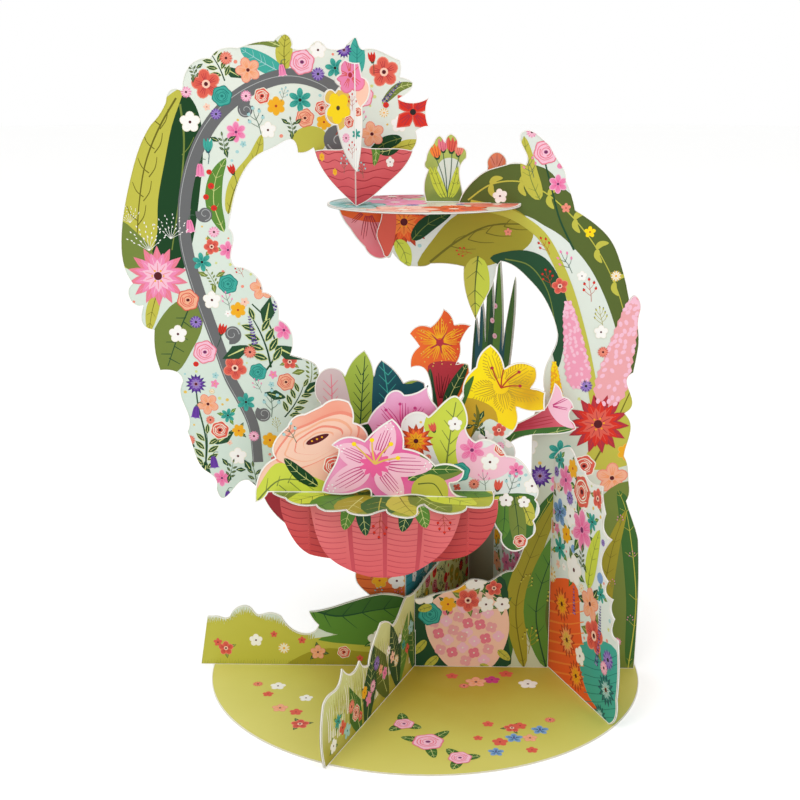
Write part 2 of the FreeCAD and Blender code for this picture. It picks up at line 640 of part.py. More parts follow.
# Small basket on the top plate: a cone face folded once, its fold to the front, and the
# flowers that stand out from the fold. Heights from the plate's upper side.
fold_y = size("wreath_plane") - size("cone_fold_depth")
cone_side_y = size("wreath_plane") - card - size("seat_gap")
cone_outline = raised([
    [(-25.8, 0), (-30, 3.2), (-36.3, 9), (-41, 17.5)],
    [(-36, 18.3), (-31, 18.6), (-25.8, 20.4)],
    [(-20, 19), (-12, 18.6), (-7, 17.5)],
    [(-11, 11), (-16.5, 6.2), (-22, 1.8), (-25.8, 0)],
], plate_top)
small_cone = folded_sheet("small_cone", [
    (-41.3, cone_side_y),
    (-26, fold_y),
    (-6.7, cone_side_y),
], cone_outline)
place(small_cone, "0", "0")

spray_y = fold_y - 2 * card
cross_outline = raised([
    [(-25.4, 11.5), (-28, 15.5), (-30, 20.5), (-31.5, 27)],
    [(-34, 28), (-35, 30.5), (-33.8, 33.5)],
    [(-35.5, 36), (-34, 38.5), (-32, 37.5)],
    [(-30.5, 39.5)],
    [(-32, 41.5), (-30.3, 43.5)],
    [(-30.3, 46.5), (-29, 48)],
    [(-26.5, 47), (-24.5, 47)],
    [(-23.5, 42.5)],
    [(-21.5, 41), (-21, 37), (-23.5, 33)],
    [(-24, 20), (-25.4, 11.5)],
], plate_top)
cross_spray = folded_sheet("cross_spray", [
    (-36, spray_y - 9),
    (-26, spray_y),
    (-20, spray_y - 2),
], cross_outline)
place(cross_spray, "0", "0")

# Petals under the top plate, hung behind the arch's end.
petal_outline = raised([
    [(-12, 0), (-33.5, 0)],
    [(-32.5, -3.5), (-29, -9)],
    [(-27, -12), (-24, -15.3)],
    [(-21.5, -18.5), (-18.5, -19.5), (-15.5, -18.5)],
    [(-13, -9), (-12, 0)],
], plate_under)
under_petals = sheet_body("under_petals", petal_outline)
place(under_petals, "0", "Sizes.wreath_plane")

# Tufts that stand on the top plate.
TUFTS = [
    ("tulip_tuft", "Sizes.tulip_plane", [
        [(10.3, 0), (-2.3, 0)],
        [(-3, 7), (-1.7, 11)],
        [(-3, 12.5), (-2.5, 14.5)],
        [(-1.5, 18), (0, 20)],
        [(2.3, 22.8), (4.2, 20.5)],
        [(5, 22.8), (6.2, 23.5)],
        [(8.2, 22), (8.7, 19)],
        [(11, 18.5), (11.7, 15)],
        [(9.5, 11.5), (10, 6), (10.3, 0)],
    ]),
    ("small_tuft", "Sizes.small_tuft_plane", [
        [(24.5, 0), (21, 0)],
        [(19.5, 6), (19.3, 12)],
        [(20, 15.3), (22.5, 16.8), (25, 15.6), (25.8, 12)],
        [(25.5, 5), (24.5, 0)],
    ]),
]
for name, plane, outline in TUFTS:
    tuft = sheet_body(name, raised(outline, plate_top))
    place(tuft, "0", plane)

NODES = ["base_sheet", "back_panel", "left_fin", "right_fin", "rear_spine", "ring_panel",
         "pot_pedestal", "bowl_front", "bowl_wings", "leaf_collar"]
NODES += [name for name, plane, outline in FLOWERS]
NODES += ["platform", "small_cone", "cross_spray", "under_petals"]
NODES += [name for name, plane, outline in TUFTS]

doc.recompute()
for item in doc.Objects:
    if "Invalid" in item.State or "Error" in item.State:
        raise RuntimeError("%s failed: %s" % (item.Name, item.State))

os.makedirs("parts", exist_ok=True)
for name in NODES:
    node = doc.getObject(name)
    node.Label = name
    if node.Shape.isNull() or not node.Shape.isValid() or len(node.Shape.Solids) != 1:
        raise RuntimeError("%s: bad shape, %d solids" % (name, len(node.Shape.Solids)))
    node.Shape.exportStep("parts/%s.step" % name)
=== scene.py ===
"""Looks of a free-standing pop-up card: printed, die-cut paper sheets on their CAD cores.

Every CAD sheet keeps its white card core. On each of its faces lies a printed field with a
white trimmed border, and on that the flowers, leaves and stems of the print in thin layers.
"""
import json
import logging
import math
import random
from contextlib import contextmanager
from dataclasses import dataclass, field, replace
from enum import Enum
from typing import Iterable, Iterator, Sequence

import bmesh
import bpy
import numpy as np
from mathutils import Matrix, Vector
from mathutils.geometry import delaunay_2d_cdt, interpolate_bezier

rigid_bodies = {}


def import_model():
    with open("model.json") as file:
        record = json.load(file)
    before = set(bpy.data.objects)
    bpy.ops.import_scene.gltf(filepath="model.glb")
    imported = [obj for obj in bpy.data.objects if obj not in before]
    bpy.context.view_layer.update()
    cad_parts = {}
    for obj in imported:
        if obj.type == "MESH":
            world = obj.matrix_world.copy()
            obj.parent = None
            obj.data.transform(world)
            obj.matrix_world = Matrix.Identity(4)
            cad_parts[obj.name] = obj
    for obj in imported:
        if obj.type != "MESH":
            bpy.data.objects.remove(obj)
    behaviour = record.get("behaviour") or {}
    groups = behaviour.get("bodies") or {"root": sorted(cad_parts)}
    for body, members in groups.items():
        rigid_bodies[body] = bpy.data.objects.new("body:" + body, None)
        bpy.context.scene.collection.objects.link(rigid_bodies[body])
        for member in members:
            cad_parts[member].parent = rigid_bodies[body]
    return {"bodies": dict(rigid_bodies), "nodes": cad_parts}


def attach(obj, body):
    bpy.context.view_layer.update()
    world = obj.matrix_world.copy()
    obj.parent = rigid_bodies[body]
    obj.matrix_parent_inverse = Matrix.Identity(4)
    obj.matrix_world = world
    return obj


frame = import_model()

LOG = logging.getLogger("pop_up_card")
MM = 0.001
PX = 0.35  # millimetres on the card's middle plane for one pixel of the photograph
COATING_IOR = 1.3  # refraction of the thin coating on card and ink
LAYER = 0.01  # millimetres between two layers of the print
OVERPRINT = 0.00014  # millimetres between two forms of one layer
Point = tuple[float, float]


class Ink(Enum):
    """Colours of the print, as sRGB hex."""

    WHITE = "FBF9F4"
    CREAM = "F6EFDC"
    MINT = "DDE8DC"
    GREY = "6A6B6C"
    GREY_LIGHT = "B9BCBB"
    LIME = "C3BF49"
    LIME_BRIGHT = "CDD94A"
    LIME_PALE = "D5DC8C"
    OLIVE = "A39A2C"
    OLIVE_DEEP = "6E6A18"
    MOSS = "75863A"
    MOSS_DEEP = "56662A"
    LEAF = "5B8A33"
    LEAF_DEEP = "3D6B2C"
    PINE = "1F4A2C"
    FOREST = "0B3D17"
    STEM = "4E6B56"
    CORAL = "E0604F"
    CORAL_PALE = "F0907A"
    RED = "DA2F20"
    CRIMSON = "B3303C"
    MAROON = "56101A"
    RUST = "B9401F"
    RIB = "C94D58"
    RIB_DEEP = "A6303A"
    PEACH = "F6B492"
    PEACH_PALE = "FACDB6"
    APRICOT = "F59A62"
    ORANGE = "F0622A"
    ORANGE_WARM = "F7883A"
    GOLD = "F4B01E"
    AMBER = "E9C25A"
    YELLOW = "FFDD12"
    OCHRE = "C9A227"
    HOT_PINK = "F0609C"
    PINK = "F28CB6"
    PINK_PALE = "F9C3D6"
    BLUSH = "F0A9AE"
    PINK_SOFT = "F3A0BA"
    PINK_ASH = "D9C4C4"
    ROSE = "EC7F93"
    MAGENTA = "C83A7E"
    PLUM = "7A2E63"
    PURPLE = "6A3BA3"
    VIOLET = "47307E"
    LAVENDER = "9A82C6"
    TEAL = "3FAB9C"
    TEAL_DEEP = "1F7F78"
    PETROL = "1D5560"
    SKY = "A8D4D4"
    BLUE = "7EA6D8"
    BROWN = "4B3826"
    BLACK = "231F1C"


def linear(code: str) -> tuple[float, float, float, float]:
    """Turns an sRGB hex colour into Blender's linear colour.

    Args:
        code: Six hex digits.

    Returns:
        Red, green, blue and alpha.
    """
    parts = [int(code[i:i + 2], 16) / 255 for i in (0, 2, 4)]
    return (*[c / 12.92 if c <= 0.04045 else ((c + 0.055) / 1.055) ** 2.4 for c in parts], 1.0)


def add_node(tree: bpy.types.NodeTree, kind: str, settings: dict | None = None,
             **inputs: object) -> bpy.types.Node:
    """Adds a node with its settings and links.

    Args:
        tree: The material's tree.
        kind: Blender's name of the node type.
        settings: Attributes to set on the node.
        **inputs: Values or output sockets for inputs; an underscore stands for a space.

    Returns:
        The node.
    """
    made = tree.nodes.new(kind)
    for name, value in (settings or {}).items():
        setattr(made, name, value)
    for name, value in inputs.items():
        socket = made.inputs[int(name[1:]) if name[0] == "i" and name[1:].isdigit()
                             else name.replace("_", " ")]
        if isinstance(value, bpy.types.NodeSocket):
            tree.links.new(value, socket)
        else:
            socket.default_value = value
    return made


def paper_grain(tree: bpy.types.NodeTree, shader: bpy.types.Node, fibre_mm: float,
                depth: float) -> bpy.types.NodeSocket:
    """Links the fine unevenness of coated card to a shader.

    Args:
        tree: The material's tree.
        shader: Its Principled shader.
        fibre_mm: Size of the unevenness.
        depth: Strength of the bump.

    Returns:
        The object coordinates, for further patterns.
    """
    place = add_node(tree, "ShaderNodeTexCoord").outputs["Object"]
    grain = add_node(tree, "ShaderNodeTexNoise", Vector=place, Scale=1000 / fibre_mm,
                     Detail=3.0, Roughness=0.6)
    bump = add_node(tree, "ShaderNodeBump", Strength=depth, Distance=2e-5,
                    Height=grain.outputs["Fac"])
    tree.links.new(bump.outputs["Normal"], shader.inputs["Normal"])
    return place


@dataclass(frozen=True)
class Finish:
    """A finish whose colour is the same all over."""

    name: str
    code: str
    roughness: float = 0.55
    fibre_mm: float = 0.35
    depth: float = 0.15

    def start(self) -> tuple[bpy.types.Material, bpy.types.Node, bpy.types.NodeSocket]:
        """Makes the material with its shader and grain."""
        made = bpy.data.materials.new(self.name)
        made.use_nodes = True
        made.diffuse_color = linear(self.code)
        shader = made.node_tree.nodes["Principled BSDF"]
        shader.inputs["Base Color"].default_value = linear(self.code)
        shader.inputs["Roughness"].default_value = self.roughness
        shader.inputs["IOR"].default_value = COATING_IOR
        place = paper_grain(made.node_tree, shader, self.fibre_mm, self.depth)
        return made, shader, place

    def material(self) -> bpy.types.Material:
        """Gives the material, made once for each name."""
        return bpy.data.materials.get(self.name) or self.start()[0]


@dataclass(frozen=True)
class CardStock(Finish):
    """Uncoated cut edge of 350 g card: white, matt, with short fibres."""

    cloud_mm: float = 1.2

    def material(self) -> bpy.types.Material:
        """Gives the card's material, a little uneven in whiteness."""
        if self.name in bpy.data.materials:
            return bpy.data.materials[self.name]
        made, shader, place = self.start()
        tree = made.node_tree
        cloud = add_node(tree, "ShaderNodeTexNoise", Vector=place, Scale=1000 / self.cloud_mm)
        tone = add_node(tree, "ShaderNodeMix", {"data_type": "RGBA"},
                        Factor=cloud.outputs["Fac"], i6=linear(self.code), i7=linear("E9E5DA"))
        tree.links.new(tone.outputs[2], shader.inputs["Base Color"])
        return made


@dataclass(frozen=True)
class PrintedField(Finish):
    """Large printed area on coated card whose colour runs from one tone to the next.

    The run goes up the sheet, or outwards from a centre, and soft clouds break it up.
    """

    to_code: str = "FFFFFF"
    mid_code: str = ""
    centre: tuple[float, float, float] = (0, 0, 0)
    along: tuple[float, float, float] | None = (0, 0, 1)
    near: float = 0
    far: float = 100
    cloud_mm: float = 14
    cloud: float = 0.35

    def material(self) -> bpy.types.Material:
        """Gives the field's material; centre, near and far are millimetres in the frame."""
        if self.name in bpy.data.materials:
            return bpy.data.materials[self.name]
        made, shader, place = self.start()
        tree = made.node_tree
        middle = tuple(c * MM for c in self.centre)
        if self.along is None:
            reach = add_node(tree, "ShaderNodeVectorMath", {"operation": "DISTANCE"},
                             i0=place, i1=middle).outputs["Value"]
        else:
            moved = add_node(tree, "ShaderNodeVectorMath", {"operation": "SUBTRACT"},
                             i0=place, i1=middle).outputs["Vector"]
            reach = add_node(tree, "ShaderNodeVectorMath", {"operation": "DOT_PRODUCT"},
                             i0=moved, i1=self.along).outputs["Value"]
        clouds = add_node(tree, "ShaderNodeTexNoise", Vector=place, Scale=1000 / self.cloud_mm,
                          Detail=4.0)
        share = add_node(tree, "ShaderNodeMapRange", Value=reach, From_Min=self.near * MM,
                         From_Max=self.far * MM)
        spread = add_node(tree, "ShaderNodeMath", {"operation": "MULTIPLY_ADD"},
                          i0=clouds.outputs["Fac"], i1=self.cloud, i2=share.outputs["Result"])
        shifted = add_node(tree, "ShaderNodeMath", {"operation": "SUBTRACT"},
                           i0=spread.outputs["Value"], i1=self.cloud / 2)
        ramp = add_node(tree, "ShaderNodeValToRGB", Fac=shifted.outputs["Value"])
        stops = ramp.color_ramp.elements
        stops[0].color, stops[1].color = linear(self.code), linear(self.to_code)
        if self.mid_code:
            stops.new(0.5).color = linear(self.mid_code)
        tree.links.new(ramp.outputs["Color"], shader.inputs["Base Color"])
        return made


CARD = CardStock("white_card_board_cut_edge", "F6F4EE", 0.7, 0.25, 0.3)
BORDER = Finish("unprinted_coated_card_border", "F8F6EF", 0.6)


def ink_material(ink: Ink) -> bpy.types.Material:
    """Offset ink on coated card: satin, the card's grain just shows through."""
    return Finish("offset_ink_" + ink.name.lower(), ink.value, 0.52).material()


@dataclass(frozen=True)
class PhotoView:
    """The photograph's camera, which also turns a pixel into a place on a sheet."""

    place: tuple[float, float, float] = (1.82, -454.69, 216.93)
    pitch: float = 0.2429
    yaw: float = -0.0245
    lens: float = 58.5
    sensor: float = 36.0
    frame_px: int = 800

    def axes(self) -> tuple[Vector, Vector, Vector]:
        """Gives the view's right, up and forward directions."""
        right = Vector((math.cos(self.yaw), -math.sin(self.yaw), 0))
        ahead = Vector((math.sin(self.yaw) * math.cos(self.pitch),
                        math.cos(self.yaw) * math.cos(self.pitch), -math.sin(self.pitch)))
        return right, right.cross(ahead), ahead

    def ray(self, x: float, y: float) -> tuple[Vector, Vector]:
        """Gives the start and direction, in millimetres, of the ray through a pixel."""
        right, up, ahead = self.axes()
        focal = self.lens / self.sensor * self.frame_px
        half = self.frame_px / 2
        return Vector(self.place), ahead * focal + right * (x - half) + up * (half - y)

    def build(self) -> bpy.types.Object:
        """Makes the scene's camera."""
        data = bpy.data.cameras.new("photo_camera")
        data.lens, data.sensor_width = self.lens, self.sensor
        data.clip_start, data.clip_end = 0.01, 50
        made = bpy.data.objects.new("photo_camera", data)
        right, up, ahead = self.axes()
        turn = Matrix((right, up, -ahead)).transposed().to_4x4()
        made.matrix_world = Matrix.Translation(Vector(self.place) * MM) @ turn
        bpy.context.scene.collection.objects.link(made)
        bpy.context.scene.camera = made
        return made


VIEW = PhotoView()


def smooth(points: Sequence[Point], closed: bool = False, steps: int = 5) -> list[Vector]:
    """Runs a smooth curve through points.

    Args:
        points: The points, in order.
        closed: Whether the curve returns to the first point.
        steps: Places on each run.

    Returns:
        The places along the curve.
    """
    knots = [Vector((x, y, 0)) for x, y in points]
    if len(knots) < 3:
        return knots
    last = len(knots)
    pick = (lambda i: knots[i % last]) if closed else (lambda i: knots[max(0, min(last - 1, i))])
    out: list[Vector] = []
    for i in range(last if closed else last - 1):
        a, b, c, d = pick(i - 1), pick(i), pick(i + 1), pick(i + 2)
        out += interpolate_bezier(b, b + (c - a) / 6, c - (d - b) / 6, c, steps + 1)[:-1]
    return out if closed else out + [knots[-1]]


@dataclass
class Pen:
    """Draws one motif of the print, in its own small mesh, at its own size and turn."""

    inks: dict[Ink, int]
    x: float = 0
    y: float = 0
    size: float = 1
    turn: float = 0
    level: int = 1
    shapes: int = 0
    bm: bmesh.types.BMesh = field(default_factory=bmesh.new)
    flat: bool = False

    def spot(self, x: float, y: float, sub: int) -> Vector:
        """Turns a place of the motif into one of the sheet."""
        c, s = math.cos(self.turn), math.sin(self.turn)
        return Vector((self.x + self.size * (c * x - s * y), self.y + self.size * (s * x + c * y),
                       (self.level + (0 if self.flat else sub)) * LAYER
                       + self.shapes * OVERPRINT))

    def paint(self, faces: Iterable[bmesh.types.BMFace], ink: Ink) -> None:
        """Gives faces an ink."""
        self.shapes += 1
        index = self.inks.setdefault(ink, len(self.inks))
        for face in faces:
            face.material_index = index

    def blob(self, ink: Ink, x: float, y: float, rx: float, ry: float, turn: float = 0,
             sub: int = 0, point: float = 0, foot: float = 0, n: int = 10) -> None:
        """Draws a rounded or pointed oval.

        Args:
            ink: Its colour.
            x: Its middle, across.
            y: Its middle, up.
            rx: Half its width.
            ry: Half its height.
            turn: Its turn in degrees.
            sub: Layers above the motif's lowest.
            point: How sharp its upper end is, up to 1.
            foot: How sharp its lower end is, up to 1.
            n: Corners of the oval.
        """
        made = bmesh.ops.create_circle(self.bm, cap_ends=True, segments=n, radius=1)["verts"]
        c, s = math.cos(math.radians(turn)), math.sin(math.radians(turn))
        for vert in made:
            u, v = vert.co.x, vert.co.y
            u *= 1 - max(0, v) * point - max(0, -v) * foot
            u, v = u * rx, v * ry
            vert.co = self.spot(x + c * u - s * v, y + s * u + c * v, sub)
        self.paint(made[0].link_faces, ink)

    def shape(self, ink: Ink, points: Sequence[Point], sub: int = 0, steps: int = 4) -> None:
        """Draws a closed smooth form through points."""
        verts = [self.bm.verts.new(self.spot(p.x, p.y, sub)) for p in smooth(points, True, steps)]
        self.paint([self.bm.faces.new(verts)], ink)

    def line(self, ink: Ink, points: Sequence[Point], start: float, end: float | None = None,
             sub: int = 0, steps: int = 4) -> None:
        """Draws a smooth line whose width runs from start to end, as an extruded ribbon."""
        path = smooth(points, False, steps)
        end = start if end is None else end
        strip: list[bmesh.types.BMFace] = []
        pair: list[bmesh.types.BMVert] = []
        edge = None
        for i, place in enumerate(path):
            way = path[min(i + 1, len(path) - 1)] - path[max(i - 1, 0)]
            side = Vector((-way.y, way.x, 0)).normalized() * (
                start + (end - start) * i / max(1, len(path) - 1)) / 2
            sides = [self.spot(p.x, p.y, sub) for p in (place + side, place - side)]
            if edge is None:
                pair = [self.bm.verts.new(p) for p in sides]
                edge = self.bm.edges.new(pair)
                continue
            grown = bmesh.ops.extrude_edge_only(self.bm, edges=[edge])["geom"]
            new = [g for g in grown if isinstance(g, bmesh.types.BMVert)]
            if any(e.other_vert(new[0]) is pair[1] for e in new[0].link_edges):
                new.reverse()
            new[0].co, new[1].co = sides
            strip += [g for g in grown if isinstance(g, bmesh.types.BMFace)]
            edge = [g for g in grown if isinstance(g, bmesh.types.BMEdge)
                    and set(g.verts) == set(new)][0]
            pair = new
        self.paint(strip, ink)


def ring_of(count: int, shift: float = 0) -> Iterator[tuple[float, float, float]]:
    """Gives the turn in degrees, and its direction, of each of count parts in a ring."""
    for i in range(count):
        turn = 360 / count * (i + shift)
        a = math.radians(turn + 90)
        yield turn, math.cos(a), math.sin(a)


@dataclass(frozen=True)
class Motif:
    """A small drawing that repeats over the print, one unit in radius."""

    depth: int = 3
    leaf: Ink | None = field(default=None, kw_only=True)

    def print(self, pen: Pen) -> None:
        """Draws the leaves behind the motif, if it has some, and the motif."""
        if self.leaf:
            for k in range(3):
                turn = 57 * (pen.x * 1.7 + pen.y) + k * 128
                c, s = math.cos(math.radians(turn + 90)), math.sin(math.radians(turn + 90))
                pen.blob(self.leaf, 1.02 * c, 1.02 * s, 0.25, 0.52, turn, 0, 0.85, 0.5, 12)
                pen.line(Ink.LIME_PALE, [(0.7 * c, 0.7 * s), (1.32 * c, 1.32 * s)], 0.07, 0.02)
        self.draw(pen)

    def draw(self, pen: Pen) -> None:
        """Draws the motif."""
        raise NotImplementedError


@dataclass(frozen=True)
class Dot(Motif):
    """Berry or dot with a darker spot."""

    ink: Ink = Ink.RED
    spot: Ink | None = None

    def draw(self, pen: Pen) -> None:
        """Draws the berry."""
        pen.blob(self.ink, 0, 0, 1, 0.94, n=10)
        if self.spot:
            pen.blob(self.spot, 0.15, -0.1, 0.3, 0.3, sub=1, n=6)


@dataclass(frozen=True)
class Blossom(Motif):
    """Open flower with round petals, fine streaks and an eye."""

    petal: Ink = Ink.CORAL
    eye: Ink = Ink.MAROON
    petals: int = 5
    streak: Ink | None = None
    edge: Ink | None = None
    fat: float = 1.0
    point: float = 0.0
    halo: Ink | None = None

    def draw(self, pen: Pen) -> None:
        """Draws petals, streaks and eye."""
        width = self.fat * 1.72 / self.petals
        for turn, c, s in ring_of(self.petals):
            if self.edge:
                pen.blob(self.edge, 0.56 * c, 0.56 * s, width + 0.07, 0.5, turn, 0,
                         self.point, 0.25, 12)
            pen.blob(self.petal, 0.54 * c, 0.54 * s, width, 0.45, turn, 1, self.point, 0.25, 12)
            if self.streak:
                for lean in (-13, 0, 13):
                    a = math.radians(turn + 90 + lean)
                    pen.line(self.streak, [(0.22 * math.cos(a), 0.22 * math.sin(a)),
                        (0.74 * math.cos(a), 0.74 * math.sin(a))], 0.06, 0.03, 2)
        if self.halo:
            pen.blob(self.halo, 0, 0, 0.3, 0.3, sub=2, n=10)
        pen.blob(self.eye, 0, 0, 0.15, 0.15, sub=3, n=8)


@dataclass(frozen=True)
class Daisy(Motif):
    """Flower with many narrow petals round a dark middle."""

    petal: Ink = Ink.CORAL_PALE
    eye: Ink = Ink.MAROON
    petals: int = 14
    under: Ink = Ink.CORAL

    def draw(self, pen: Pen) -> None:
        """Draws two rings of petals and the middle."""
        for sub, ink, shift, long in ((0, self.under, 0.5, 0.5), (1, self.petal, 0, 0.42)):
            for turn, c, s in ring_of(self.petals, shift):
                pen.blob(ink, 0.5 * c, 0.5 * s, 1.3 / self.petals, long, turn, sub, 0.2, 0.4, 8)
        pen.blob(self.eye, 0, 0, 0.2, 0.2, sub=2, n=8)


@dataclass(frozen=True)
class Rose(Motif):
    """Round rose with a wavy rim and petal lines coiling to its heart."""

    petal: Ink = Ink.PEACH
    lines: Ink = Ink.CORAL
    heart: Ink = Ink.MAROON

    def draw(self, pen: Pen) -> None:
        """Draws the rim, the body and the coiled lines."""
        turns = [math.tau * i / 24 for i in range(24)]
        ring = [((1 + 0.07 * math.sin(6 * a)) * math.cos(a),
            (1 + 0.07 * math.sin(6 * a)) * math.sin(a)) for a in turns]
        pen.shape(self.lines, ring, 0, 1)
        pen.shape(self.petal, [(x * 0.9, y * 0.9) for x, y in ring], 1, 1)
        for radius, start in ((0.72, 20), (0.54, 150), (0.37, 280)):
            arc = [(radius * math.cos(math.radians(start + t)),
                    radius * 0.92 * math.sin(math.radians(start + t))) for t in range(0, 301, 60)]
            pen.line(self.lines, arc, 0.1, 0.05, 2, 3)
        pen.blob(self.heart, 0, 0, 0.17, 0.15, sub=2, n=8)


@dataclass(frozen=True)
class Bell(Motif):
    """Hanging bell flower with ribs, a frilled hem and a hooked stalk."""

    body: Ink = Ink.PINK
    rib: Ink = Ink.MAGENTA
    hem: Ink = Ink.PINK_PALE
    stalk: Ink = Ink.STEM

    def draw(self, pen: Pen) -> None:
        """Draws the bell with its mouth down."""
        pen.line(self.stalk, [(0, 0.75), (0.02, 1.05), (0.3, 1.35), (0.75, 1.3)], 0.1, 0.07)
        pen.shape(self.hem, [(-0.62, -0.85), (-0.3, -0.72), (0, -0.9), (0.3, -0.72),
                             (0.62, -0.85), (0.42, -0.5), (-0.42, -0.5)], 0, 2)
        pen.shape(self.body, [(-0.48, -0.68), (0, -0.74), (0.48, -0.68), (0.42, 0.2),
                              (0.26, 0.72), (0, 0.84), (-0.26, 0.72), (-0.42, 0.2)], 1, 3)
        for x in (-0.2, 0.2):
            pen.line(self.rib, [(x * 0.6, 0.62), (x, 0.2), (x * 1.2, -0.6)], 0.07, 0.03, 2)
        pen.blob(self.stalk, 0, 0.84, 0.2, 0.1, sub=2, n=6)


@dataclass(frozen=True)
class Tulip(Motif):
    """Cup flower with three tips on a calyx."""

    body: Ink = Ink.RED
    stripe: Ink = Ink.MAROON
    calyx: Ink = Ink.PINE
    stalk: float = 0.0

    def draw(self, pen: Pen) -> None:
        """Draws the cup, its stripes, and the stalk if it has one."""
        if self.stalk:
            pen.line(self.calyx, [(0, -0.7), (0.1, -1.2), (-0.05, -1 - self.stalk)], 0.12, 0.08)
        pen.shape(self.body, [(-0.5, 0.95), (-0.2, 0.5), (0, 1.0), (0.22, 0.5), (0.5, 0.95),
            (0.6, 0.1), (0.3, -0.6), (0, -0.78), (-0.3, -0.6), (-0.6, 0.1)], 0, 3)
        for x in (-0.28, 0, 0.28):
            pen.line(self.stripe, [(x * 0.7, -0.5), (x, 0.1), (x * 1.1, 0.6)], 0.07, 0.03, 1)
        pen.shape(self.calyx, [(-0.34, -0.38), (-0.1, -0.62), (0.1, -0.62), (0.34, -0.38),
                               (0.2, -0.82), (-0.2, -0.82)], 2, 2)


@dataclass(frozen=True)
class Spike(Motif):
    """Tall flower spike of many florets that narrows to its tip."""

    floret: Ink = Ink.VIOLET
    light: Ink = Ink.LAVENDER
    rows: int = 11
    width: float = 0.17

    def draw(self, pen: Pen) -> None:
        """Draws rows of florets from the foot to the tip, two units long."""
        for i in range(self.rows):
            y = -1 + 2 * i / (self.rows - 1)
            w = self.width * (1 - 0.72 * i / self.rows)
            tall = 1.5 / self.rows
            for k, lean in ((-1, 52), (1, -52), (-0.45, 22), (0.45, -22)):
                pen.blob(self.floret if abs(k) == 1 or i % 2 else self.light, k * w, y, w * 0.42,
                         tall * 0.62, lean, 1 if abs(k) == 1 else 2, 0.6, 0, 7)


@dataclass(frozen=True)
class Plume(Motif):
    """Fluffy plume with a scalloped rim and many tiny florets."""

    ink: Ink = Ink.BLUSH
    light: Ink = Ink.PINK_PALE
    width: float = 0.22

    def draw(self, pen: Pen) -> None:
        """Draws the body, two units long, and its florets."""
        def half(y: float) -> float:
            return self.width * math.sqrt(max(0.02, 1 - abs(y) ** 5)) * (0.85 - 0.4 * y)
        ring = []
        for way in (1, -1):
            for i in range(27):
                y = way * (-1 + 2 * i / 26)
                ring.append((way * half(y) * (1.06 if i % 2 else 0.92), y))
        pen.shape(self.ink, ring, 0, 2)
        rnd = random.Random(3)
        for i in range(22):
            y = -0.94 + 1.88 * i / 21
            for k in range(4):
                x = (k - 1.5 + rnd.uniform(-0.3, 0.3)) * half(y) * 0.52
                if rnd.random() < 0.72:
                    pen.blob(self.light, x, y + rnd.uniform(-0.03, 0.03), 0.035, 0.05,
                             rnd.uniform(-50, 50), 1, n=7)


@dataclass(frozen=True)
class Dahlia(Motif):
    """Full flower with three rings of pointed petals."""

    outer: Ink = Ink.ROSE
    middle: Ink = Ink.PINK
    inner: Ink = Ink.PINK_PALE
    eye: Ink = Ink.MAROON

    def draw(self, pen: Pen) -> None:
        """Draws the rings from the widest to the smallest, then the eye."""
        for sub, (ink, count, reach) in enumerate(((self.outer, 14, 1.0), (self.middle, 12, 0.78),
                                                   (self.inner, 10, 0.54))):
            for turn, c, s in ring_of(count, sub * 0.5):
                x, y = reach * c, reach * s
                pen.blob(ink, 0.56 * x, 0.56 * y, reach * 2.4 / count, reach * 0.44, turn, sub,
                         0.75, 0.2, 10)
                pen.line([self.middle, self.inner, self.outer][sub],
                    [(0.3 * x, 0.3 * y), (0.8 * x, 0.8 * y)], 0.03, 0.015, sub)
        pen.blob(self.eye, 0, 0, 0.14, 0.14, sub=3, n=10)
        for i in range(6):
            a = math.tau * i / 6
            pen.blob(Ink.GOLD, 0.19 * math.cos(a), 0.19 * math.sin(a), 0.035, 0.035, sub=3, n=6)


@dataclass(frozen=True)
class Sprig(Motif):
    """Branching stalk with a bud at each tip."""

    stalk: Ink = Ink.OLIVE
    bud: Ink = Ink.CORAL
    tip: Ink | None = None
    twigs: int = 3
    bud_size: float = 0.13
    slim: float = 1.0
    weight: float = 0.05

    def draw(self, pen: Pen) -> None:
        """Draws the stalk from (0, -1) up, with twigs left and right."""
        pen.line(self.stalk, [(0, -1), (0.05, -0.3), (-0.02, 0.3), (0.02, 0.85)],
                 self.weight, self.weight * 0.6)
        ends = [(0.02, 0.9)]
        for i in range(self.twigs):
            y = -0.45 + i * 1.0 / self.twigs
            for way in (-1, 1):
                x, top = way * (0.5 - 0.1 * i), y + 0.52
                pen.line(self.stalk, [(0, y + 0.05 * way), (x * 0.6, y + 0.25), (x, top)],
                         self.weight * 0.8, self.weight * 0.5)
                ends.append((x, top))
        for x, y in ends:
            pen.blob(self.bud, x, y, self.bud_size * self.slim, self.bud_size,
                     -math.degrees(math.atan2(x, 1)), 1, 0.3 if self.slim < 1 else 0, n=8)
            if self.tip:
                pen.blob(self.tip, x * 1.06, y + self.bud_size, 0.05, 0.05, sub=2, n=6)


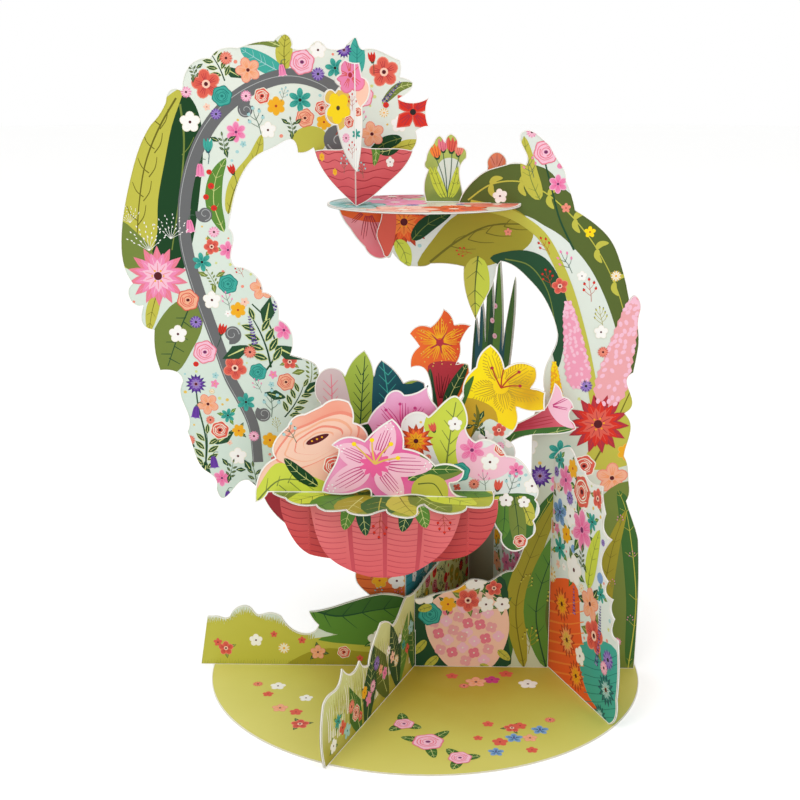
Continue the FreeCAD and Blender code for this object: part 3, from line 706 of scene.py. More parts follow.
@dataclass(frozen=True)
class Twig(Motif):
    """Curved stalk with paired leaves, each with a light vein."""

    stalk: Ink = Ink.PINE
    leaf: Ink = Ink.LEAF_DEEP
    vein: Ink | None = Ink.LIME_PALE
    pairs: int = 4
    plump: float = 0.12
    long: float = 0.27
    edge: Ink | None = None

    def draw(self, pen: Pen) -> None:
        """Draws the stalk from (0, -1) to (0, 1) and its leaves."""
        pen.line(self.stalk, [(-0.06, -1), (0.04, -0.4), (0.04, 0.3), (-0.03, 0.8)], 0.07, 0.03)
        places = [(0.0, 0.98, 0)]
        for i in range(self.pairs):
            y = -0.72 + i * 1.45 / self.pairs
            places += [(-0.28, y + 0.2, 52), (0.32, y + 0.08, -52)]
        for x, y, lean in places:
            shrink = 1 - 0.18 * max(0.0, y)
            if self.edge:
                pen.blob(self.edge, x, y, (self.plump + 0.03) * shrink,
                         (self.long + 0.03) * shrink, lean, 0, 0.8, 0.6, 10)
            pen.blob(self.leaf, x, y, self.plump * shrink, self.long * shrink, lean, 1, 0.8, 0.6,
                10)
            if self.vein:
                c, s = math.cos(math.radians(lean + 90)), math.sin(math.radians(lean + 90))
                reach = self.long * 0.62 * shrink
                pen.line(self.vein,
                    [(x - reach * c, y - reach * s), (x + reach * c, y + reach * s)], 0.035, 0.012,
                    2)


@dataclass(frozen=True)
class Fern(Motif):
    """Fan of pale seeds or a feathered frond."""

    seed: Ink = Ink.WHITE
    stalk: Ink = Ink.WHITE
    rays: int = 7
    arc: float = 110

    def draw(self, pen: Pen) -> None:
        """Draws rays with seeds along them."""
        for i in range(self.rays):
            lean = -self.arc / 2 + self.arc * i / max(1, self.rays - 1)
            a = math.radians(90 + lean)
            long = 1.9 - 0.25 * abs(lean) / 45
            pen.line(self.stalk,
                [(0, -1), (long * 0.55 * math.cos(a), -1 + long * 0.55 * math.sin(a))], 0.035,
                0.02)
            for t in (0.5, 0.68, 0.86, 1.0):
                side = 0.05 if int(t * 50) % 2 else -0.05
                pen.blob(self.seed, long * t * math.cos(a) + side, -1 + long * t * math.sin(a),
                         0.045, 0.085, lean, 1, 0.5, 0.2, 7)


@dataclass(frozen=True)
class Grass(Motif):
    """Tuft of thin blades."""

    ink: Ink = Ink.LIME_PALE
    blades: int = 7
    spread: float = 0.5
    thick: float = 0.06

    def draw(self, pen: Pen) -> None:
        """Draws blades that rise and lean outwards."""
        for i in range(self.blades):
            k = (i / max(1, self.blades - 1) - 0.5) * 2
            tall = 1 - 0.35 * abs(k) + 0.12 * math.sin(i * 2.4)
            pen.line(self.ink, [(k * self.spread * 0.7, -1), (k * self.spread * 0.8, 0),
                                (k * self.spread * 1.15, tall)], self.thick, 0.012, i % 2)


@dataclass(frozen=True)
class Curl(Motif):
    """Scroll that coils inwards."""

    ink: Ink = Ink.GREY
    light: Ink | None = Ink.GREY_LIGHT
    turns: float = 1.6
    thick: float = 0.5

    def draw(self, pen: Pen) -> None:
        """Draws the coil from its outer end to its eye."""
        count = int(self.turns * 10)
        path = []
        for i in range(count + 1):
            a = math.tau * self.turns * i / count
            r = 1 - 0.78 * i / count
            path.append((r * math.cos(a), r * math.sin(a)))
        pen.blob(self.ink, 0, 0, 0.8, 0.8, n=14)
        pen.line(self.ink, path, self.thick, self.thick * 0.6, 0, 2)
        if self.light:
            pen.line(self.light, path[3:], 0.09, 0.06, 1, 2)


def face_outline(node: str, facing: Sequence[float]) -> tuple[Vector, float, list[Vector]]:
    """Reads the flat face of a CAD sheet that faces a direction.

    Args:
        node: The CAD node.
        facing: The direction, about.

    Returns:
        The face's normal, its distance along the normal and its corners, in millimetres.
    """
    bm = bmesh.new()
    bm.from_mesh(frame["nodes"][node].data)
    bmesh.ops.remove_doubles(bm, verts=bm.verts, dist=1e-6)
    bm.normal_update()
    way = Vector(facing).normalized()
    best = max((f for f in bm.faces if f.calc_area() > 2e-7),
               key=lambda f: (round(f.normal.dot(way), 2), f.calc_area()))
    normal = best.normal.copy()
    off = normal.dot(best.verts[0].co)
    keep = [f for f in bm.faces if f.normal.dot(normal) > 0.9995
            and abs(f.normal.dot(f.verts[0].co) - off) < 2e-5]
    gone = set(bm.faces) - set(keep)
    bmesh.ops.delete(bm, geom=list(gone), context="FACES")
    made = bmesh.ops.dissolve_faces(bm, faces=bm.faces[:])["region"]
    big = max(made or bm.faces[:], key=lambda f: f.calc_area())
    corners = [v.co / MM for v in big.verts]
    if big.normal.dot(normal) < 0:
        corners.reverse()
    bm.free()
    return normal, off / MM, corners


@dataclass
class Sheet:
    """One printed face of a card sheet, and its print-through on the far face.

    Places are pixels of the photograph; sizes are pixels of its middle plane.
    """

    name: str
    node: str
    facing: tuple[float, float, float]
    slot: str
    ground: Finish
    border: float = 0.34
    far_face: bool = True
    card: float = 0.4
    seed: int = 1

    def __post_init__(self) -> None:
        """Finds the face's plane and outline."""
        self.normal, self.off, corners = face_outline(self.node, self.facing)
        self.up = Vector((0, 1, 0)) if abs(self.normal.z) > 0.9 else Vector((0, 0, 1))
        if self.normal.z < -0.9:
            self.up = Vector((0, -1, 0))
        self.across = self.up.cross(self.normal).normalized()
        self.outline = [Vector((p.dot(self.across), p.dot(self.up))) for p in corners]
        self.bm = bmesh.new()
        self.inks: dict[Ink, int] = {}
        self.heap: dict[tuple[int, int], int] = {}
        self.rnd = random.Random(self.seed)
        self.top = 1
        self.group: Pen | None = None

    def at(self, x: float, y: float) -> Point:
        """Gives the place on the sheet that a pixel shows."""
        start, way = VIEW.ray(x, y)
        hit = start + way * ((self.off - start.dot(self.normal)) / way.dot(self.normal))
        return hit.dot(self.across), hit.dot(self.up)

    @property
    def box(self) -> tuple[Point, Point]:
        """Gives the lower left and upper right corner of the outline's box."""
        xs, ys = [p.x for p in self.outline], [p.y for p in self.outline]
        return (min(xs), min(ys)), (max(xs), max(ys))

    @property
    def sides(self) -> Point:
        """Gives the outline's leftmost and rightmost place, across."""
        return self.box[0][0], self.box[1][0]

    def book(self, cells: set[tuple[int, int]], depth: int) -> int:
        """Gives the lowest free layer over cells of the sheet and takes depth layers there."""
        level = 1 + max((self.heap.get(cell, 1) for cell in cells), default=1)
        for cell in cells:
            self.heap[cell] = level + depth - 1
        self.top = max(self.top, level + depth - 1)
        return level

    def pen(self, places: Iterable[Point], reach: float, depth: int, x: float = 0, y: float = 0,
            size: float = 1, turn: float = 0) -> Pen:
        """Gives a pen on the lowest free layer.

        Args:
            places: Places on the sheet that the motif covers.
            reach: Radius round each place.
            depth: Layers that the motif takes.
            x: Origin of the motif, across.
            y: Origin of the motif, up.
            size: Length of the motif's unit in millimetres.
            turn: Its turn in radians.

        Returns:
            The pen.
        """
        cells = {(i, j) for u, v in places
                 for i in range(math.floor(u - reach), math.floor(u + reach) + 1)
                 for j in range(math.floor(v - reach), math.floor(v + reach) + 1)
                 if math.hypot(i + 0.5 - u, j + 0.5 - v) < reach + 0.7}
        if self.group:
            self.cells |= cells
            return Pen(self.inks, x, y, size, turn, 0, self.group.shapes, self.group.bm, True)
        return Pen(self.inks, x, y, size, turn, self.book(cells, depth))

    @contextmanager
    def together(self) -> Iterator[None]:
        """Prints what is drawn within on shared layers, the later over the earlier."""
        self.group, self.cells = Pen(self.inks, flat=True), set()
        yield
        pen, self.group = self.group, None
        level = self.book(self.cells, 1 + int(pen.shapes * OVERPRINT / LAYER))
        bmesh.ops.translate(pen.bm, vec=(0, 0, level * LAYER), verts=pen.bm.verts[:])
        self.keep(pen)

    def streak(self, ink: Ink, path: Sequence[Point], start: float, end: float,
               cover: Sequence[Point] | None = None, reach: float = 0.4, steps: int = 3) -> None:
        """Prints a line through places in millimetres.

        Args:
            ink: Its colour.
            path: The places.
            start: Its width at the first place.
            end: Its width at the last one.
            cover: Places that it takes up, unless they are those of the path.
            reach: Radius that it takes up round each.
            steps: Places on each run of the curve.
        """
        pen = self.pen(cover or path, reach, 1)
        pen.line(ink, path, start, end, 0, steps)
        self.keep(pen)

    def keep(self, pen: Pen) -> None:
        """Adds a finished motif to the sheet's print."""
        if self.group:
            self.group.shapes = pen.shapes
            return
        data = bpy.data.meshes.new("motif")
        pen.bm.to_mesh(data)
        pen.bm.free()
        self.bm.from_mesh(data)
        bpy.data.meshes.remove(data)

    def add(self, motif: Motif, x: float, y: float, size: float, turn: float = 0,
            place: Point | None = None) -> None:
        """Prints a motif.

        Args:
            motif: The motif.
            x: Pixel across, unless place is given.
            y: Pixel down, unless place is given.
            size: Its radius in pixels.
            turn: Its turn in degrees, against the clock.
            place: Its place on the sheet in millimetres.
        """
        u, v = place or self.at(x, y)
        pen = self.pen([(u, v)], size * PX * 0.8, motif.depth, u, v, size * PX, math.radians(turn))
        motif.print(pen)
        self.keep(pen)

    def many(self, motif: Motif, places: Sequence[Sequence[float]]) -> None:
        """Prints a motif at several places, each x, y, size and, if given, turn."""
        for place in places:
            self.add(motif, *place)

    def lay(self, *groups: tuple[Motif, Sequence[Sequence[float]]]) -> None:
        """Prints groups, each a motif and its places."""
        for motif, places in groups:
            self.many(motif, places)

    def mix(self, *flowers: tuple) -> None:
        """Prints single motifs, each with its x, y, size and, if given, turn."""
        for motif, *place in flowers:
            self.add(motif, *place)

    def area(self, ink: Ink, points: Sequence[Point], steps: int = 4) -> None:
        """Prints a closed smooth form through pixels."""
        spots = [self.at(*p) for p in points]
        rim = smooth(spots, True, 3)
        xs, ys = [p.x for p in rim], [p.y for p in rim]
        inner = [(i + 0.5, j + 0.5) for i in range(int(min(xs)) - 1, int(max(xs)) + 1)
            for j in range(int(min(ys)) - 1, int(max(ys)) + 1) if within(rim, i + 0.5, j + 0.5)]
        pen = self.pen([*inner, *[(p.x, p.y) for p in rim]], 0.4, 1)
        pen.shape(ink, spots, 0, steps)
        self.keep(pen)

    def stem(self, ink: Ink, points: Sequence[Point], start: float, end: float | None = None,
             light: Ink | None = None) -> None:
        """Prints a stem through pixels; light is a thin line along its middle."""
        spots = [self.at(*p) for p in points]
        width = PX * start
        path = [(p.x, p.y) for p in smooth(spots, False, 4)]
        pen = self.pen(path, width / 2 + 0.2, 2 if light else 1)
        pen.line(ink, spots, width, PX * (start if end is None else end), 0, 6)
        if light:
            pen.line(light, [(p.x - width * 0.3, p.y) for p in smooth(spots, False, 2)], 0.22,
                0.16, 1, 3)
        self.keep(pen)

    def veins(self, ink: Ink, lines: Iterable[Sequence[Point]], start: float = 1,
              end: float = 0.5) -> None:
        """Prints short side veins, each from its foot to its tip in pixels."""
        for line in lines:
            self.stem(ink, line, start, end)

    def leaf(self, fill: Ink, points: Sequence[Point], width: float, vein: Ink | None = None,
             veins: int = 4, shade: Ink | None = None) -> None:
        """Prints a leaf along a line from its foot to its tip.

        Args:
            fill: Its colour.
            points: Pixels of its middle line.
            width: Its greatest width in pixels.
            vein: Colour of its veins.
            veins: Side veins on each side.
            shade: A second tone on one half.
        """
        path = smooth([self.at(*p) for p in points], False, 6)
        rows = []
        for i, place in enumerate(path):
            share = i / (len(path) - 1)
            way = (path[min(i + 1, len(path) - 1)] - path[max(i - 1, 0)]).normalized()
            side = Vector((-way.y, way.x, 0)) * (
                width * PX / 2 * math.sin(math.pi * share ** 0.85) ** 0.75)
            rows.append((place, side, way))
        pen = self.pen([(p.x + k * s.x, p.y + k * s.y) for p, s, w in rows
                        for k in (-1, -0.5, 0, 0.5, 1)], 0.5, 3)
        left = [p + s for p, s, w in rows[1:-1]]
        right = [p - s for p, s, w in rows[1:-1]]
        for ink, ring, sub in ((fill, [path[0], *left, path[-1], *right[::-1]], 0),
                               (shade, [*path, *right[::-1]], 1)):
            if ink:
                verts = [pen.bm.verts.new(pen.spot(p.x, p.y, sub)) for p in ring]
                pen.paint([pen.bm.faces.new(verts)], ink)
        if vein:
            pen.line(vein, [(p.x, p.y) for p in path], max(0.3, width * PX * 0.06), 0.12, 2, 1)
            for k in range(veins):
                p, s, w = rows[int((k + 0.8) / (veins + 0.6) * (len(rows) - 1))]
                for way in (1, -1):
                    tip = p + s * 0.72 * way + w * s.length * 0.7
                    pen.line(vein, [(p.x, p.y), tuple((p.lerp(tip, 0.55) + w * -0.1)[:2]),
                                    (tip.x, tip.y)], max(0.16, width * PX * 0.025), 0.08, 2, 2)
        self.keep(pen)

    def wicker(self, left: float, right: float, top: float, low: float, ink: Ink,
               step: float = 2.0) -> None:
        """Prints the bowed cross lines of the wicker between two places in millimetres."""
        for k in range(int((top - low) / step)):
            v = top - step * (k + 0.7)
            bow = [(left + (right - left) * t / 4,
                v - (0.7 if k % 2 else 0.9) * math.sin(math.pi * t / 4)) for t in range(5)]
            self.streak(ink, bow, 0.36, 0.2)

    def flat_leaf(self, fill: Ink, vein: Ink, foot: Point, tip: Point,
                  width: float) -> None:
        """Prints a leaf between two places in millimetres."""
        middle = ((foot[0] + tip[0]) / 2, (foot[1] + tip[1]) / 2)
        long = math.dist(foot, tip)
        turn = math.atan2(tip[1] - foot[1], tip[0] - foot[0]) - math.pi / 2
        pen = self.pen([middle], long / 2, 2, *middle, 1, turn)
        pen.blob(fill, 0, 0, width / 2, long / 2 * 1.12, 0, 0, 0.55, 0.3, 14)
        pen.line(vein, [(0, -long * 0.45), (0.4, 0), (0, long * 0.45)], 0.45, 0.15, 1)
        for k in (-0.25, 0, 0.22):
            for way in (-1, 1):
                pen.line(vein, [(0.2, long * k), (way * width * 0.3, long * (k + 0.16))], 0.24,
                    0.1, 1)
        self.keep(pen)

    def rays(self, ink: Ink, x: float, y: float, near: float, tips: Sequence[Point],
             lines: int = 4, fan: float = 11, width: float = 1.2) -> None:
        """Prints streaks that run from a throat towards petal tips, in pixels."""
        with self.together():
            for ex, ey in tips:
                way, reach = math.atan2(ey - y, ex - x), math.dist((x, y), (ex, ey))
                for k in range(lines):
                    lean = (k - (lines - 1) / 2) * math.radians(fan)
                    far = reach * (0.82 - 0.5 * abs(lean))
                    self.stem(ink,
                        [(x + near * math.cos(way + lean), y + near * math.sin(way + lean)),
                        (x + far * 0.6 * math.cos(way + lean * 0.9),
                        y + far * 0.6 * math.sin(way + lean * 0.9)),
                        (x + far * math.cos(way + lean * 0.55),
                        y + far * math.sin(way + lean * 0.55))], width, 0.5)

    def petals(self, ink: Ink, x: float, y: float, tips: Sequence[Point], width: float) -> None:
        """Prints a lighter blade on each petal, from the throat to just short of its tip."""
        with self.together():
            for ex, ey in tips:
                self.leaf(ink, [(x + (ex - x) * t, y + (ey - y) * t) for t in (0.12, 0.5, 0.94)],
                    width)

    def stamens(self, ink: Ink, knob: Ink, x: float, y: float, tips: Sequence[Point],
                width: float = 2) -> None:
        """Prints stamens with round ends."""
        with self.together():
            for ex, ey in tips:
                self.stem(ink, [(x, y), ((x + ex) / 2 - 1, (y + ey) / 2 - 1), (ex, ey)], width,
                    width * 0.7)
                self.add(Dot(2, knob), ex, ey, width * 1.2)

    def blade(self, ink: Ink, u: float, v: float, tall: float, lean: float,
              vein: Ink = Ink.LIME_PALE, wide: float = 0.3, veins: bool = True) -> None:
        """Prints a pointed leaf that stands at a place in millimetres, tall above and below it."""
        pen = self.pen([(u, v + tall * k) for k in (-0.6, 0, 0.6)], tall * 0.42, 2, u, v, 1,
                    math.radians(lean))
        pen.blob(ink, 0, 0, tall * wide, tall, 0, 0, 0.85, 0.4, 16)
        pen.line(vein, [(0, -tall * 0.8), (0.3, 0), (0, tall * 0.75)], 0.32, 0.12, 1)
        for k in range(-2, 4 if veins else -2):
            for way in (-1, 1):
                pen.line(vein,
                    [(0, tall * k * 0.17), (way * tall * wide * 0.6, tall * (k * 0.17 + 0.16))],
                    0.22, 0.08, 1)
        self.keep(pen)

    def strew(self, motifs: Sequence[Motif], count: int, low: float, high: float, gap: float = 1.0,
              box: tuple[Point, Point] | None = None, over: int = 1) -> None:
        """Prints small motifs on ground that is still bare.

        Args:
            motifs: The motifs to choose from.
            count: How many places to try.
            low: Smallest size in pixels.
            high: Largest size in pixels.
            gap: Room to leave, times the size.
            box: Lower and upper corner of the area in millimetres; the whole sheet if not given.
            over: Highest layer that counts as bare.
        """
        (left, foot), (right, top) = box or self.box
        for _ in range(count):
            u, v = self.rnd.uniform(left, right), self.rnd.uniform(foot, top)
            size, turn = self.rnd.uniform(low, high), self.rnd.uniform(-40, 40)
            reach = size * PX * gap
            around = [(u + r * math.cos(a), v + r * math.sin(a)) for r in (reach / 2, reach)
                      for a in range(7)]
            if all(self.heap.get((math.floor(x), math.floor(y)), 1) <= over
                    and within(self.outline, x, y) for x, y in [(u, v), *around]):
                self.add(self.rnd.choice(motifs), 0, 0, size, turn, (u, v))

    def trim(self) -> None:
        """Cuts what reaches past the outline off the print."""
        self.bm.verts.ensure_lookup_table()
        edge = np.array([tuple(p) for p in self.outline])
        after = np.roll(edge, -1, axis=0)
        spots = np.array([v.co[:2] for v in self.bm.verts]).reshape(-1, 2)
        inside = np.zeros(len(spots), bool)
        for first in range(0, len(spots), 4000):
            p = spots[first:first + 4000, None, :]
            cross = (edge[None, :, 1] > p[..., 1]) != (after[None, :, 1] > p[..., 1])
            rise = after[:, 1] - edge[:, 1]
            rise = np.where(rise == 0, 1e-9, rise)
            at = (after[:, 0] - edge[:, 0]) / rise * (p[..., 1] - edge[None, :, 1]) + edge[None, :,
                0]
            inside[first:first + 4000] = (cross & (p[..., 0] < at)).sum(axis=1) % 2 == 1
        self.bm.verts.index_update()
        cut, gone = [], []
        for face in self.bm.faces:
            known = [bool(inside[v.index]) for v in face.verts]
            if not all(known):
                gone.append(face)
                if any(known) or face.calc_area() > 4:
                    cut.append(([tuple(v.co[:2]) for v in face.verts], face.verts[0].co.z,
                                face.material_index))
        bmesh.ops.delete(self.bm, geom=gone, context="FACES")
        ring = [tuple(p) for p in self.outline]
        for corners, z, index in cut:
            self.cut_face(corners, ring, z, index)
        LOG.info("%s: %d layers, %d faces, %d trimmed", self.name, self.top,
                 len(self.bm.faces), len(cut))

    def cut_face(self, corners: list[Point], ring: list[Point], z: float, index: int) -> None:
        """Adds the part of a flat form that lies within a ring."""
        count = len(corners)
        loops = [list(range(count)), list(range(count, count + len(ring)))]
        for loop, places in zip(loops, (corners, ring)):
            if turning(places) < 0:
                loop.reverse()
        spots, _, faces, _, _, origins = delaunay_2d_cdt(
            [Vector(p) for p in corners + ring], [], loops, 1, 1e-5, True)
        made: dict[int, bmesh.types.BMVert] = {}
        for face, origin in zip(faces, origins):
            if 0 in origin and 1 in origin:
                for i in face:
                    if i not in made:
                        made[i] = self.bm.verts.new((spots[i].x, spots[i].y, z))
                self.bm.faces.new([made[i] for i in face]).material_index = index

    def place(self, bm: bmesh.types.BMesh) -> None:
        """Moves a mesh from the sheet's millimetres into the frame, and prints it through."""
        hold = Matrix((self.across, self.up, self.normal)).transposed().to_4x4()
        into = Matrix.Scale(MM, 4) @ Matrix.Translation(self.normal * self.off) @ hold
        through = Matrix.Translation((0, 0, -self.card / 2)) @ Matrix.Scale(
            -1, 4, (0, 0, 1)) @ Matrix.Translation((0, 0, self.card / 2))
        for face in bm.faces:
            face.normal_update()
        wrong = [f for f in bm.faces if f.normal.z < 0]
        if wrong:
            bmesh.ops.reverse_faces(bm, faces=wrong)
        if self.far_face:
            twin = bmesh.ops.duplicate(bm, geom=bm.verts[:] + bm.edges[:] + bm.faces[:])["geom"]
            verts = [g for g in twin if isinstance(g, bmesh.types.BMVert)]
            bmesh.ops.transform(bm, matrix=through, verts=verts)
            bmesh.ops.reverse_faces(bm, faces=[g for g in twin
                                               if isinstance(g, bmesh.types.BMFace)])
        bmesh.ops.transform(bm, matrix=into, verts=bm.verts[:])

    def object(self, name: str, bm: bmesh.types.BMesh,
               materials: Sequence[bpy.types.Material]) -> bpy.types.Object:
        """Makes a piece of the card from a mesh."""
        data = bpy.data.meshes.new(name)
        bm.to_mesh(data)
        bm.free()
        for material in materials:
            data.materials.append(material)
        made = bpy.data.objects.new(name, data)
        bpy.context.scene.collection.objects.link(made)
        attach(made, "root")
        return made

    def ground_mesh(self) -> bmesh.types.BMesh:
        """Makes the printed field and the white border round it."""
        bm = bmesh.new()
        field_face = bm.faces.new([bm.verts.new((p.x, p.y, LAYER)) for p in self.outline])
        if self.border:
            rim = bmesh.ops.duplicate(bm, geom=[field_face])["geom"]
            face = [g for g in rim if isinstance(g, bmesh.types.BMFace)][0]
            for vert in face.verts:
                vert.co.z = (self.top + 1) * LAYER
            ring = bmesh.ops.inset_region(bm, faces=[face], thickness=self.border,
                                          use_boundary=True)["faces"]
            for part in ring:
                part.material_index = 1
            bmesh.ops.delete(bm, geom=[face], context="FACES")
        return bm

    def build(self) -> None:
        """Makes the sheet's pieces."""
        if self.bm.faces:
            self.trim()
            self.place(self.bm)
            self.object(self.name + "_print", self.bm, [ink_material(i) for i in self.inks])
        ground = self.ground_mesh()
        self.place(ground)
        self.object(self.name + "_field", ground, [self.ground.material(), BORDER.material()])


def turning(places: Sequence[Point]) -> float:
    """Gives twice the area within a ring; positive where it runs against the clock."""
    return sum(a[0] * b[1] - b[0] * a[1] for a, b in zip(places, [*places[1:], places[0]]))


def within(ring: Sequence[Vector], x: float, y: float) -> bool:
    """Tells whether a place lies within a ring of corners."""
    inside = False
    for a, b in zip(ring, [ring[-1], *ring[:-1]]):
        if (a.y > y) != (b.y > y) and x < (b.x - a.x) * (y - a.y) / (b.y - a.y) + a.x:
            inside = not inside
    return inside


FRONT = (0, -1, 0)


def front_sheet(node: str, code: str, to_code: str, border: float = 0.5, seed: int = 1,
                slot: str = "flower_card", **more: object) -> Sheet:
    """Gives a sheet that faces the front, with a printed field that is named after it.

    Args:
        node: The CAD node, also the name of the pieces.
        code: The field's first tone.
        to_code: Its last tone.
        border: Width of the white border in millimetres.
        seed: Seed of the small motifs' places.
        slot: Name of a material slot; stored on the sheet but not used.
        **more: The other fields of PrintedField.
    """
    ground = PrintedField("print_" + node, code, 0.5, to_code=to_code, **more)
    return Sheet(node, node, FRONT, slot, ground, border, seed=seed)


def bloom(petal: Ink, eye: Ink = Ink.MAROON, petals: int = 5, **more: object) -> Blossom:
    """Gives an open flower; more are the other fields of Blossom."""
    return Blossom(4, petal, eye, petals, **more)


WHITE_FLOWER = bloom(Ink.WHITE, Ink.MAROON, fat=1.15, edge=Ink.CREAM)
PEACH_FLOWER = bloom(Ink.PEACH, streak=Ink.APRICOT, edge=Ink.CORAL_PALE)
CORAL_FLOWER = bloom(Ink.CORAL, streak=Ink.CRIMSON, edge=Ink.CORAL_PALE, fat=1.1,
    halo=Ink.PEACH_PALE)
PINK_FLOWER = bloom(Ink.PINK, Ink.PLUM, 6, streak=Ink.HOT_PINK, edge=Ink.PINK_PALE)
TEAL_FLOWER = bloom(Ink.TEAL, Ink.BLACK, 6, streak=Ink.TEAL_DEEP, fat=0.9)
GOLD_FLOWER = bloom(Ink.GOLD, Ink.RUST, 6, edge=Ink.AMBER, fat=1.2)
BLUE_FLOWER = bloom(Ink.BLUE, Ink.VIOLET, streak=Ink.PETROL)
RED_STAR = bloom(Ink.RED, Ink.BLACK, 4, streak=Ink.CRIMSON, edge=Ink.CORAL, fat=0.72, point=0.8)
LEAFY = [replace(f, leaf=leaf) for f, leaf in ((WHITE_FLOWER, Ink.LEAF_DEEP), (PEACH_FLOWER,
    Ink.PINE), (CORAL_FLOWER, Ink.MOSS), (TEAL_FLOWER, Ink.LEAF), (PINK_FLOWER, Ink.LEAF_DEEP),
    (GOLD_FLOWER, Ink.PINE))]
SMALL = [bloom(Ink.CORAL, petals=4), bloom(Ink.WHITE, Ink.CORAL), bloom(Ink.PINK, Ink.GOLD,
    point=0.5), bloom(Ink.SKY, Ink.TEAL_DEEP), bloom(Ink.PEACH_PALE, Ink.CRIMSON)]
DAISIES = [Daisy(3, Ink.PINK_PALE, Ink.MAROON, 11, Ink.PINK), Daisy(3, Ink.CORAL_PALE, Ink.MAROON,
    13, Ink.CORAL), Daisy(3, Ink.CREAM, Ink.GOLD, 10, Ink.AMBER), Daisy(3, Ink.LAVENDER, Ink.BLACK,
    11, Ink.PURPLE)]
ROSES = [Rose(3, Ink.CORAL, Ink.CREAM, Ink.MAROON), Rose(3, Ink.PEACH, Ink.CORAL, Ink.MAROON),
    Rose(3, Ink.TEAL, Ink.TEAL_DEEP, Ink.TEAL_DEEP), Rose(3, Ink.PINK_PALE, Ink.ROSE, Ink.PLUM)]
SPRIGS = [Sprig(2, Ink.OLIVE, Ink.LIME, Ink.BROWN, 3, 0.1, 0.7), Sprig(2, Ink.STEM, Ink.PINK, None,
    2, 0.14, 0.6), Sprig(2, Ink.STEM, Ink.SKY, Ink.PETROL, 2, 0.13), Sprig(2, Ink.RUST, Ink.RED,
    Ink.MAROON, 2, 0.12), Twig(3, Ink.PINE, Ink.LEAF_DEEP, Ink.LIME_PALE, 3, 0.15, 0.3),
    Twig(3, Ink.MOSS, Ink.MOSS, None, 4, 0.1, 0.2)]
SPECKS = [Dot(2, Ink.LIME_PALE), Dot(2, Ink.CORAL_PALE), Dot(2, Ink.SKY), Dot(2, Ink.AMBER),
    bloom(Ink.LIME_PALE, Ink.GOLD)]
WHITE_FERN = Fern(2)
DARK_TWIG = Twig(3, Ink.PINE, Ink.FOREST, Ink.LIME_PALE, 4, 0.13, 0.27, Ink.LIME_PALE)
LAVENDER_SPIKE = Spike(5)


